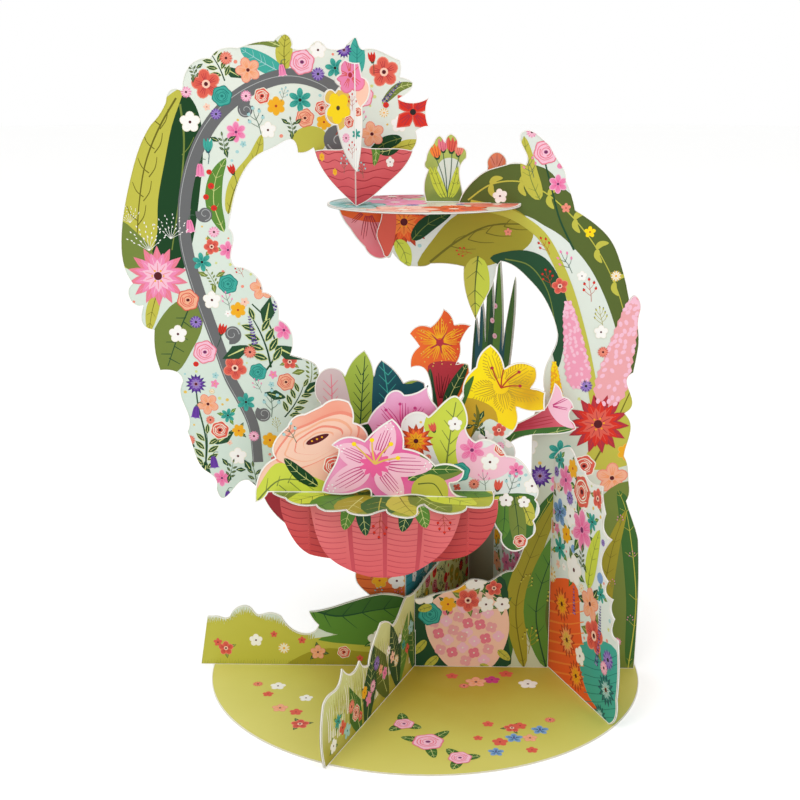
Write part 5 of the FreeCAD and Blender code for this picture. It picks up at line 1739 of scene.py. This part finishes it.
    def pink_lily(self) -> None:
        """Prints the large pink lily at the front."""
        s = front_sheet("pink_lily", "E8569A", "F19CC4", along=None, centre=(-10, -23.2, 86),
            near=4, far=22, cloud_mm=6, cloud=0.4)
        s.area(Ink.MOSS, [(420, 452), (446, 460), (464, 470), (446, 480), (430, 480)])
        s.leaf(Ink.LEAF_DEEP, [(408, 480), (428, 470), (460, 470)], 13, Ink.LIME_PALE, 4)
        s.area(Ink.LIME, [(414, 482), (430, 474), (446, 482), (446, 500), (424, 504), (412, 498)])
        s.stem(Ink.MOSS_DEEP, [(418, 484), (434, 484), (443, 497)], 1.4, 0.8)
        s.area(Ink.PINE, [(358, 500), (366, 488), (378, 500), (372, 508), (360, 508)])
        tips = [(334, 446), (392, 420), (437, 466), (404, 500), (324, 492)]
        throat = (375, 464)
        s.petals(Ink.PINK_PALE, *throat, tips, 25)
        s.rays(Ink.MAGENTA, *throat, 14, tips, 5, 9, 1.3)
        with s.together():
            for k in range(11):
                a = math.tau * k / 11
                s.leaf(Ink.HOT_PINK, [(375, 464), (375 + 8 * math.cos(a), 464 + 7 * math.sin(a)),
                    (375 + 16 * math.cos(a), 464 + 14 * math.sin(a))], 6)
        s.stamens(Ink.AMBER, Ink.YELLOW, *throat, [(354, 444), (372, 440), (391, 444), (398, 458)])
        s.many(Dot(1, Ink.WHITE), [(x + 4 * math.cos(k) + (375 - x) * 0.14, y + 3.4 * math.sin(k)
            + (464 - y) * 0.14, 0.8) for x, y in tips for k in range(6)])
        s.build()

    def peach_bloom(self) -> None:
        """Prints the layered peach bloom: petal lines that coil to its heart, and its leaves."""
        s = front_sheet("peach_bloom", "F39C84", "F9C9B0", along=None, centre=(-33, -19.2, 101),
            near=2, far=22, cloud_mm=7, cloud=0.6)
        for k, (rx, ry) in enumerate(((42, 25), (33, 19), (24, 13.5), (15, 8.5))):
            ring = [(318 + rx * (1 + 0.05 * math.sin(5 * a + k)) * math.cos(a) - 0.28 * ry
                * math.sin(a), 440 + ry * (1 + 0.08 * math.sin(4 * a + k)) * math.sin(a) - 0.26
                * rx * math.cos(a)) for a in [math.tau * j / 16 for j in range(16)]]
            s.area([Ink.CORAL_PALE, Ink.PEACH, Ink.CORAL_PALE, Ink.PEACH][k], ring, 3)
            s.area(Ink.PEACH_PALE, [(318 + (x - 318) * 0.95, 441 + (y - 440) * 0.92) for x,
                y in ring], 3)
        s.leaf(Ink.MAROON, [(306, 444), (318, 439), (329, 434)], 7)
        s.many(Dot(1, Ink.GOLD), [(312, 441, 1), (317, 439, 1.1), (322, 437, 1)])
        s.area(Ink.LIME_BRIGHT, [(250, 508), (260, 484), (275, 464), (292, 466), (312, 476),
            (330, 486), (320, 504), (284, 500)])
        s.stem(Ink.MOSS, [(258, 500), (280, 480), (312, 482)], 1.8, 1)
        for k in range(4):
            s.veins(Ink.MOSS, [[(266 + 11 * k, 491 - 6 * k + k * k), (268 + 12 * k, 478 - 2 * k)],
                [(268 + 11 * k, 490 - 6 * k + k * k), (278 + 12 * k, 496 - 2 * k)]])
        s.leaf(Ink.FOREST, [(318, 486), (300, 474), (284, 458)], 13, Ink.LIME_PALE, 4)
        s.many(ROSES[0], [(334, 466, 11)])
        s.many(SPRIGS[2], [(290, 432, 13, 30)])
        s.build()

    def spray(self) -> None:
        """Prints the spray of small flowers right of the lily and its hanging leaves."""
        ground = PrintedField("print_spray_field", "D5E7E2", 0.5, to_code="F3EFEA", near=50,
            far=110, cloud_mm=12, cloud=0.5)
        s = Sheet("blossom_spray", "blossom_spray", FRONT, "flower_card", ground, 0.5, seed=4)
        s.area(Ink.LEAF_DEEP, [(484, 500), (500, 494), (534, 496), (534, 520), (528, 552),
            (506, 562), (498, 530), (488, 514)])
        for x, ex, ey, ink in ((518, 532, 526, Ink.LIME), (500, 492, 520, Ink.LIME_BRIGHT),
                (505, 502, 540, Ink.LEAF), (514, 520, 554, Ink.MOSS)):
            s.leaf(ink, [(x, 496), ((x + ex) / 2 + 1, (496 + ey) / 2), (ex, ey)], 17, Ink.PINE, 3)
        s.area(Ink.LIME_BRIGHT, [(424, 424), (436, 402), (456, 392), (470, 400), (474, 426),
            (474, 448), (452, 474), (440, 464), (430, 440)])
        s.stem(Ink.MOSS, [(446, 468), (450, 436), (456, 402)], 1.8, 0.9)
        for k in range(4):
            s.veins(Ink.MOSS, [[(448 + 2 * k, 454 - 12 * k), (440 + 2 * k, 440 - 10 * k)],
                [(448 + 2 * k, 456 - 12 * k), (460 + k, 446 - 12 * k)]])
        s.area(Ink.PINK_PALE, [(462, 430), (474, 432), (482, 448), (502, 442), (516, 460),
            (502, 476), (478, 480), (460, 468), (456, 446)])
        s.add(Dahlia(5, Ink.RUST, Ink.ORANGE, Ink.GOLD), 416, 441, 18)
        s.lay((PINK_FLOWER, [(472, 450, 13, 10), (516, 470, 8)]), (WHITE_FLOWER, [(490, 462, 9),
            (450, 478, 7), (532, 486, 8), (506, 500, 7), (455, 424, 7), (524, 502, 6)]), (ROSES[2],
            [(460, 472, 10)]), (ROSES[0], [(503, 448, 9), (520, 541, 7)]), (SPRIGS[2],
            [(512, 484, 13, -20)]), (SPRIGS[1], [(484, 480, 11, 10)]), (DAISIES[1], [(474, 484, 6),
            (534, 470, 5)]), (Tulip(4, Ink.CORAL, Ink.RED, Ink.PINE), [(498, 486, 7, -10),
            (433, 428, 6, 20)]))
        s.strew([*SMALL, *DAISIES], 300, 2.4, 4.4, 0.9)
        s.strew(SPECKS, 200, 1, 1.8, 1.2)
        s.build()

    def mallow(self) -> None:
        """Prints the soft pink mallow behind the lily."""
        s = front_sheet("rose_mallow", "E0458C", "EFAED2", along=None, centre=(-2, -13.2, 92),
            near=1, far=19, cloud_mm=6, cloud=0.4)
        s.area(Ink.FOREST, [(352, 434), (366, 422), (374, 440), (362, 456), (348, 450)])
        tips = [(368, 424), (376, 400), (404, 394), (428, 400), (436, 424)]
        s.rays(Ink.MAGENTA, 404, 434, 5, tips, 4, 10, 1.5)
        s.stamens(Ink.HOT_PINK, Ink.MAGENTA, 404, 434, [(386, 410), (400, 404), (415, 408)], 1.4)
        s.build()

    def yellow_lily(self) -> None:
        """Prints the yellow lily and the blossoms below it."""
        s = front_sheet("yellow_lily", "D9A514", "FFE60C", seed=9, mid_code="FBD514", along=None,
            centre=(36, -10.2, 110), near=1, far=18, cloud_mm=5, cloud=0.4)
        s.area(Ink.OCHRE, [(460, 400), (478, 400), (496, 412), (496, 440), (476, 446), (464, 424)])
        s.leaf(Ink.OLIVE_DEEP, [(470, 442), (478, 420), (476, 404)], 4)
        s.area(Ink.LEAF_DEEP, [(456, 404), (464, 386), (474, 376), (468, 396), (462, 408)])
        tips = [(487, 346), (536, 364), (546, 396), (508, 416), (466, 396)]
        with s.together():
            for ex, ey in tips:
                way, reach = math.atan2(ey - 386, ex - 501), math.dist((501, 386), (ex, ey))
                for k in range(9):
                    for side in (-1, 1):
                        t = 0.3 + 0.07 * k
                        x, y = 501 + reach * t * math.cos(way), 386 + reach * t * math.sin(way)
                        wide = 11 * math.sin(math.pi * min(1, t))
                        u, v = -math.sin(way) * side, math.cos(way) * side
                        s.stem(Ink.OCHRE, [(x + wide * u, y + wide * v), (x + wide * 0.62 * u - 3
                            * math.cos(way), y + wide * 0.62 * v - 3 * math.sin(way))], 0.9, 0.6)
        s.rays(Ink.OCHRE, 501, 386, 8, tips, 6, 11, 1.0)
        s.stamens(Ink.RUST, Ink.CRIMSON, 501, 388, [(492, 368), (505, 366), (519, 372),
            (520, 386)], 1.5)
        s.area(Ink.MINT, [(468, 446), (486, 420), (500, 424), (512, 430), (534, 430), (530, 470),
            (480, 470)])
        s.lay((WHITE_FLOWER, [(486, 438, 8), (512, 440, 9), (528, 448, 6)]), (CORAL_FLOWER,
            [(499, 430, 7), (522, 460, 6)]), (DAISIES[0], [(500, 446, 5)]), (SPRIGS[4],
            [(478, 424, 10, 20), (526, 436, 9, -50)]))
        s.build()

    def trumpets(self) -> None:
        """Prints the orange trumpet and the pink one that leans right behind the lily."""
        s = front_sheet("orange_trumpet", "D8451C", "F3702E", 0.34, along=None, centre=(13, -3.7,
            128), near=1, far=18, cloud_mm=7, cloud=0.4)
        s.area(Ink.CRIMSON, [(428, 366), (444, 361), (464, 366), (454, 386), (442, 408),
            (438, 408), (432, 386)])
        s.rays(Ink.MAROON, 441, 404, 6, [(438, 366), (450, 368)], 3, 9, 1)
        s.leaf(Ink.PINE, [(444, 410), (454, 388), (468, 362)], 13, Ink.LIME_PALE, 5)
        s.leaf(Ink.PINE, [(436, 410), (431, 392), (430, 368)], 9, Ink.MOSS, 0)
        tips = [(440, 310), (471, 327), (459, 366), (416, 362), (410, 328)]
        inner = [(440 + 24 * math.cos(0.63 * k), 342 + 24 * math.sin(0.63 * k)) for k in range(10)]
        s.rays(Ink.GOLD, 440, 342, 4, inner, 3, 12, 1.5)
        s.rays(Ink.GOLD, 440, 342, 12, tips, 4, 12, 1.2)
        s.rays(Ink.CRIMSON, 440, 343, 1, [(448, 330), (455, 346), (442, 356), (428, 350),
            (430, 333)], 1, 0, 2.6)
        s.many(Dot(1, Ink.AMBER), [(440 + (19 + 3 * (k % 3)) * math.cos(0.37 * k),
            342 + (19 + 3 * (k % 3)) * math.sin(0.37 * k), 0.7) for k in range(34)])
        s.add(Dot(1, Ink.CRIMSON), 440, 343, 3.6)
        s.build()
        s = front_sheet("pink_trumpet", "B8384C", "F6B4C2", 0.34, mid_code="DD6273", along=(1, 0,
            0.3), centre=(30, 0, 100), near=6, far=30, cloud_mm=6, cloud=0.3)
        s.leaf(Ink.LEAF_DEEP, [(474, 452), (510, 442), (574, 428)], 20, Ink.LIME_PALE, 6)
        s.rays(Ink.CRIMSON, 510, 428, 6, [(550, 396), (566, 416)], 3, 8, 1.2)
        s.area(Ink.PINK_PALE, [(551, 378), (562, 390), (572, 402), (568, 416), (574, 428),
            (560, 424), (549, 410), (547, 394)])
        s.rays(Ink.MAGENTA, 551, 406, 2, [(572, 396), (572, 410)], 2, 10, 1.2)
        s.build()

    def rear_leaves(self) -> None:
        """Prints the three leaves at the back of the basket."""
        ground = PrintedField("print_rear_leaf", "8FAE3C", 0.5, to_code="A9BF4B", near=76, far=124,
            cloud_mm=10, cloud=0.6)
        s = Sheet("rear_leaves", "rear_leaves", FRONT, "leaf_card", ground, 0.34, seed=3)
        s.area(Ink.PINK_ASH, [(312, 420), (314, 388), (324, 368), (336, 366), (346, 384),
            (350, 424)])
        s.stem(Ink.ROSE, [(331, 420), (332, 396), (331, 374)], 1.6, 0.8)
        s.veins(Ink.ROSE, [[(331, 412 - 8 * k), (x, 404 - 8 * k)] for k in range(4) for x in (338,
            323)])
        s.area(Ink.PETROL, [(375, 444), (373, 380), (381, 354), (396, 366), (406, 384), (430, 378),
            (434, 400), (410, 412), (404, 444)])
        s.stem(Ink.TEAL, [(390, 430), (388, 396), (383, 362)], 1.6, 0.8)
        s.veins(Ink.TEAL, [[(388, 420 - 9 * k), (x, 411 - 9 * k)] for k in range(6) for x in (396,
            379)])
        s.stem(Ink.PINE, [(360, 430), (362, 396), (365, 356)], 1.5, 0.8)
        s.veins(Ink.PINE, [[(x, 420 - 9 * k), (ex + k * grow, 410 - 9 * k)] for k in range(6)
            for x, ex, grow in ((362, 371, -0.6), (361, 352, 0.8))])
        s.build()


@dataclass
class TopPlate:
    """The small round plate with its cone basket, petals and tufts."""

    plate: PrintedField = PrintedField("print_plate", "C9DCD8", 0.5, to_code="E9D9B8", along=(1, 0,
        0), near=-35, far=35, cloud_mm=14, cloud=0.8)
    cone: PrintedField = PrintedField("print_coral_cone", "CC4650", 0.5, to_code="E26E72",
        near=174, far=196, cloud_mm=8, cloud=0.5)

    def build(self) -> None:
        """Builds the plate and what stands on it."""
        self.round()
        self.small_basket()
        self.small_pieces()

    def round(self) -> None:
        """Prints the plate's upper face with big soft flowers."""
        s = Sheet("plate", "platform", (0, 0, 1), "panel_card", self.plate, 0.8, seed=31)
        (left, near), (right, far) = s.box
        middle, depth, wide, deep = (left + right) / 2, (near + far) / 2, (right - left) / 2, (far
            - near) / 2
        for k, (ink, edge, u, v) in enumerate(((Ink.PINK, Ink.ROSE, -0.3, 0.1), (Ink.LIME_PALE,
                Ink.LIME, 0.2, 0.5), (Ink.SKY, Ink.TEAL, -0.75, -0.2), (Ink.ORANGE, Ink.RUST, 0.3,
                -0.6), (Ink.CORAL_PALE, Ink.CORAL, 0.75, -0.1), (Ink.PEACH_PALE, Ink.CORAL_PALE,
                -0.2, -0.7), (Ink.ROSE, Ink.CRIMSON, -0.35, 0.75))):
            s.add(Blossom(4, ink, Ink.CREAM, 6, edge, edge, 1.1), 0, 0, 34, 20 * k,
                (middle + u * wide, depth + v * deep))
        s.strew([*SMALL, *DAISIES, *SPRIGS], 300, 5, 9, 0.8)
        s.build()
        under = Finish("print_pale_plate_underside", "DCE5DB", 0.55)
        Sheet("plate_underside", "platform", (0, 0, -1), "panel_card", under, 0.8, False).build()

    def small_basket(self) -> None:
        """Prints the folded cone and the spray that stands out of it."""
        for name, way in (("cone_left", (-0.72, -0.69, 0)), ("cone_right", (0.64, -0.77, 0))):
            s = Sheet(name, "small_cone", way, "bowl_card", self.cone, 0.26, seed=2)
            left, right = s.sides
            for k in range(6):
                wave = [(left + (right - left) * t / 6, 192 - 2.8 * k + 0.6 * math.sin(2.2 * t
                    + k)) for t in range(7)]
                s.streak(Ink.RIB_DEEP, wave, 0.35, 0.2)
            if name == "cone_left":
                s.many(GOLD_FLOWER, [(322, 157, 4), (335, 172, 3.4)])
                s.add(SPRIGS[2], 344, 164, 9)
            else:
                s.leaf(Ink.FOREST, [(402, 142), (390, 150), (378, 152)], 11, Ink.LIME_PALE, 3)
                s.leaf(Ink.LEAF, [(372, 142), (376, 152), (374, 166)], 10, Ink.LIME_PALE, 3)
                s.add(WHITE_FLOWER, 390, 162, 5)
                s.add(SPRIGS[2], 362, 170, 8, 10)
            s.build()
        strip = PrintedField("print_spray_strip", "EDEFEA", 0.5, to_code="F8F6F2", near=185,
            far=224, cloud_mm=8, cloud=0.5)
        for name, way in (("strip_left", (0.67, -0.74, 0)), ("strip_right", (-0.32, -0.95, 0))):
            s = Sheet(name, "cross_spray", way, "flower_card", strip, 0.4, seed=12)
            s.area(Ink.AMBER, [(322, 112), (326, 92), (338, 90), (350, 96), (346, 124),
                (334, 130)])
            s.add(bloom(Ink.YELLOW, Ink.BROWN, edge=Ink.AMBER, fat=1.2), 338, 108, 15, 30)
            s.area(Ink.PEACH_PALE, [(360, 78), (372, 82), (372, 100), (362, 108), (356, 96)])
            s.add(bloom(Ink.PINK, Ink.CRIMSON, streak=Ink.CORAL, edge=Ink.ROSE, fat=1.25), 350, 75,
                17, 10)
            s.lay((ROSES[0], [(349, 122, 6), (358, 112, 4.4)]), (DAISIES[0], [(346, 138, 5)]),
                (TEAL_FLOWER, [(356, 134, 5)]), (SPRIGS[3], [(352, 102, 8), (352, 150, 8)]))
            s.build()

    def small_pieces(self) -> None:
        """Prints the petals under the plate and the two tufts on it."""
        s = front_sheet("under_petals", "EE6D7C", "F7A9AF", 0.4, near=152, far=175, cloud_mm=6,
            cloud=0.5)
        s.area(Ink.ORANGE, [(336, 208), (386, 208), (380, 222), (350, 218)])
        s.rays(Ink.CRIMSON, 368, 208, 8, [(348, 226), (362, 246), (382, 250)], 3, 9, 1.3)
        s.build()
        ground = PrintedField("print_tuft", "7F9148", 0.5, to_code="BFD06A", near=175, far=196,
            cloud_mm=5, cloud=0.6)
        s = Sheet("tulip_tuft", "tulip_tuft", FRONT, "leaf_card", ground, 0.34)
        s.area(Ink.MINT, [(437, 170), (442, 160), (452, 158), (460, 164), (456, 182), (448, 196),
            (440, 184)])
        for x, y, r, t, ink in ((436, 152, 9, 14, Ink.ORANGE_WARM), (443, 146, 8, 4, Ink.ROSE),
                (452, 146, 9, -6, Ink.CORAL), (459, 151, 7, -12, Ink.CORAL_PALE)):
            s.stem(Ink.STEM, [(447, 196), ((447 + x) / 2 + 1, 176), (x, y + 6)], 1.1, 0.8)
            s.add(Tulip(4, ink, Ink.CRIMSON, Ink.PINE), x, y, r, t)
        for x, ex in ((443, 429), (451, 463), (446, 434), (449, 458)):
            s.leaf(Ink.LIME_BRIGHT, [(x, 198), ((x + ex) / 2, 184), (ex, 166)], 7, Ink.MOSS, 3)
        s.build()
        s = front_sheet("small_tuft", "E9573A", "FA8E66", 0.3, slot="leaf_card", near=176, far=190,
            cloud_mm=3, cloud=0.6)
        for x in (490, 497, 504):
            s.leaf(Ink.CORAL_PALE, [(497, 170), ((x + 497) / 2, 162), (x, 154)], 5, Ink.RUST, 0)
        s.build()


@dataclass
class Base:
    """The half-round base with its printed lawn; its darkening round the sheets' crossing is
    partly print, partly painted shade.
    """

    # Darker towards the crossing of the standing sheets: partly the print's ochre, partly painted
    # shade where the sheets shade the lawn.
    lawn: PrintedField = PrintedField("print_lawn_and_painted_shade", "BCA336", 0.52, mid_code="D0C95F",
        to_code="DFDA78", centre=(12, 0, 0), along=None, near=22, far=95, cloud_mm=26, cloud=0.3)

    def build(self) -> None:
        """Prints the lawn with a few groups of flowers."""
        s = Sheet("lawn", "base_sheet", (0, 0, 1), "base_card", self.lawn, 0.34, False, seed=17)
        for x, y, r in ((428, 742, 15), (460, 758, 11), (404, 724, 10)):
            for k in range(3):
                a = 0.6 + 2.1 * k + x
                s.leaf(Ink.LEAF_DEEP, [(x, y), (x + r * math.cos(a), y + 0.6 * r * math.sin(a)),
                    (x + 1.9 * r * math.cos(a), y + 1.1 * r * math.sin(a))], 11, Ink.LIME_PALE, 3)
            s.add(ROSES[3], x, y, r)
        s.many(replace(CORAL_FLOWER, leaf=Ink.PINE), [(300, 724, 9), (512, 728, 8)])
        s.lay((bloom(Ink.CORAL, Ink.CRIMSON, fat=1.2), [(500, 742, 8), (520, 726, 7), (488, 724,
            6), (268, 694, 6), (296, 712, 7), (452, 676, 7), (506, 674, 8), (532, 750, 6),
            (478, 738, 5)]), (BLUE_FLOWER, [(514, 738, 9), (540, 730, 9), (496, 752, 8)]),
            (PEACH_FLOWER, [(476, 682, 11), (280, 708, 8), (530, 738, 7)]), (bloom(Ink.MAGENTA,
            Ink.PLUM, fat=1.2), [(492, 680, 9)]), (WHITE_FLOWER, [(278, 686, 8), (528, 684, 10),
            (306, 698, 7)]), (DAISIES[1], [(258, 684, 6), (464, 686, 6), (550, 720, 6)]))
        s.build()


@dataclass(frozen=True)
class Studio:
    """Pale floor, backdrop and soft light."""

    sky: float = 0.72
    key: float = 9.0
    fill: float = 2.9
    floor_lift: float = 0.3

    def lamp(self, name: str, place: Sequence[float], size: float, power: float) -> None:
        """Adds a large soft lamp that looks at the card's middle."""
        data = bpy.data.lights.new(name, "AREA")
        data.shape, data.size, data.energy = "DISK", size, power
        made = bpy.data.objects.new(name, data)
        made.location = place
        aim = Vector((0, 0, 0.11)) - Vector(place)
        made.rotation_mode = "QUATERNION"
        made.rotation_quaternion = aim.to_track_quat("-Z", "Y")
        bpy.context.scene.collection.objects.link(made)

    def floor_material(self) -> bpy.types.Material:
        """Makes the matt white floor; the camera sees it a little lighter, its shadow stays."""
        made, shader, _ = Finish("matt_white_studio_floor", "F7F7F6", 0.9, 6, 0.05).start()
        tree = made.node_tree
        path = add_node(tree, "ShaderNodeLightPath")
        seen = add_node(tree, "ShaderNodeMath", {"operation": "MAXIMUM"},
                        i0=path.outputs["Is Camera Ray"], i1=path.outputs["Is Glossy Ray"])
        glow = add_node(tree, "ShaderNodeMath", {"operation": "MULTIPLY"}, i0=seen.outputs[0],
                        i1=self.floor_lift)
        shader.inputs["Emission Color"].default_value = (1, 1, 1, 1)
        tree.links.new(glow.outputs[0], shader.inputs["Emission Strength"])
        return made

    def build(self) -> None:
        """Makes the floor, the world and the lamps."""
        world = bpy.data.worlds.new("white_studio")
        world.use_nodes = True
        bpy.context.scene.world = world
        tree = world.node_tree
        tree.nodes.clear()
        path = add_node(tree, "ShaderNodeLightPath")
        seen = add_node(tree, "ShaderNodeMath", {"operation": "MAXIMUM"},
                        i0=path.outputs["Is Camera Ray"], i1=path.outputs["Is Glossy Ray"])
        soft = add_node(tree, "ShaderNodeBackground", Color=(1, 1, 1, 1), Strength=self.sky)
        white = add_node(tree, "ShaderNodeBackground", Color=(1, 1, 1, 1), Strength=1.0)
        both = add_node(tree, "ShaderNodeMixShader", i0=seen.outputs[0], i1=soft.outputs[0],
                        i2=white.outputs[0])
        add_node(tree, "ShaderNodeOutputWorld", Surface=both.outputs[0])
        bm = bmesh.new()
        bmesh.ops.create_circle(bm, cap_ends=True, segments=64, radius=6)
        data = bpy.data.meshes.new("floor")
        bm.to_mesh(data)
        bm.free()
        floor = bpy.data.objects.new("floor", data)
        bpy.context.scene.collection.objects.link(floor)
        data.materials.append(self.floor_material())
        self.lamp("key_lamp", (-0.55, -0.85, 1.5), 1.1, self.key)
        self.lamp("fill_lamp", (0.9, -1.2, 0.8), 1.2, self.fill)


def main() -> None:
    """Builds the card's looks piece by piece."""
    logging.basicConfig(level=logging.INFO, format="%(name)s %(message)s")
    kept = set(frame["nodes"].values()) | set(frame["bodies"].values())
    for extra in [o for o in bpy.context.scene.objects if o not in kept]:
        bpy.data.objects.remove(extra)
    scene = bpy.context.scene
    scene.view_settings.view_transform = "Standard"
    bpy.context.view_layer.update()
    for node in frame["nodes"].values():
        node.data.materials.clear()
        node.data.materials.append(CARD.material())
    VIEW.build()
    for part in (Base(), Arch(), Wreath(), Fins(), Basket(), TopPlate(), Studio()):
        part.build()
        LOG.info("%s ready", type(part).__name__)


if __name__ == "__main__":
    main()
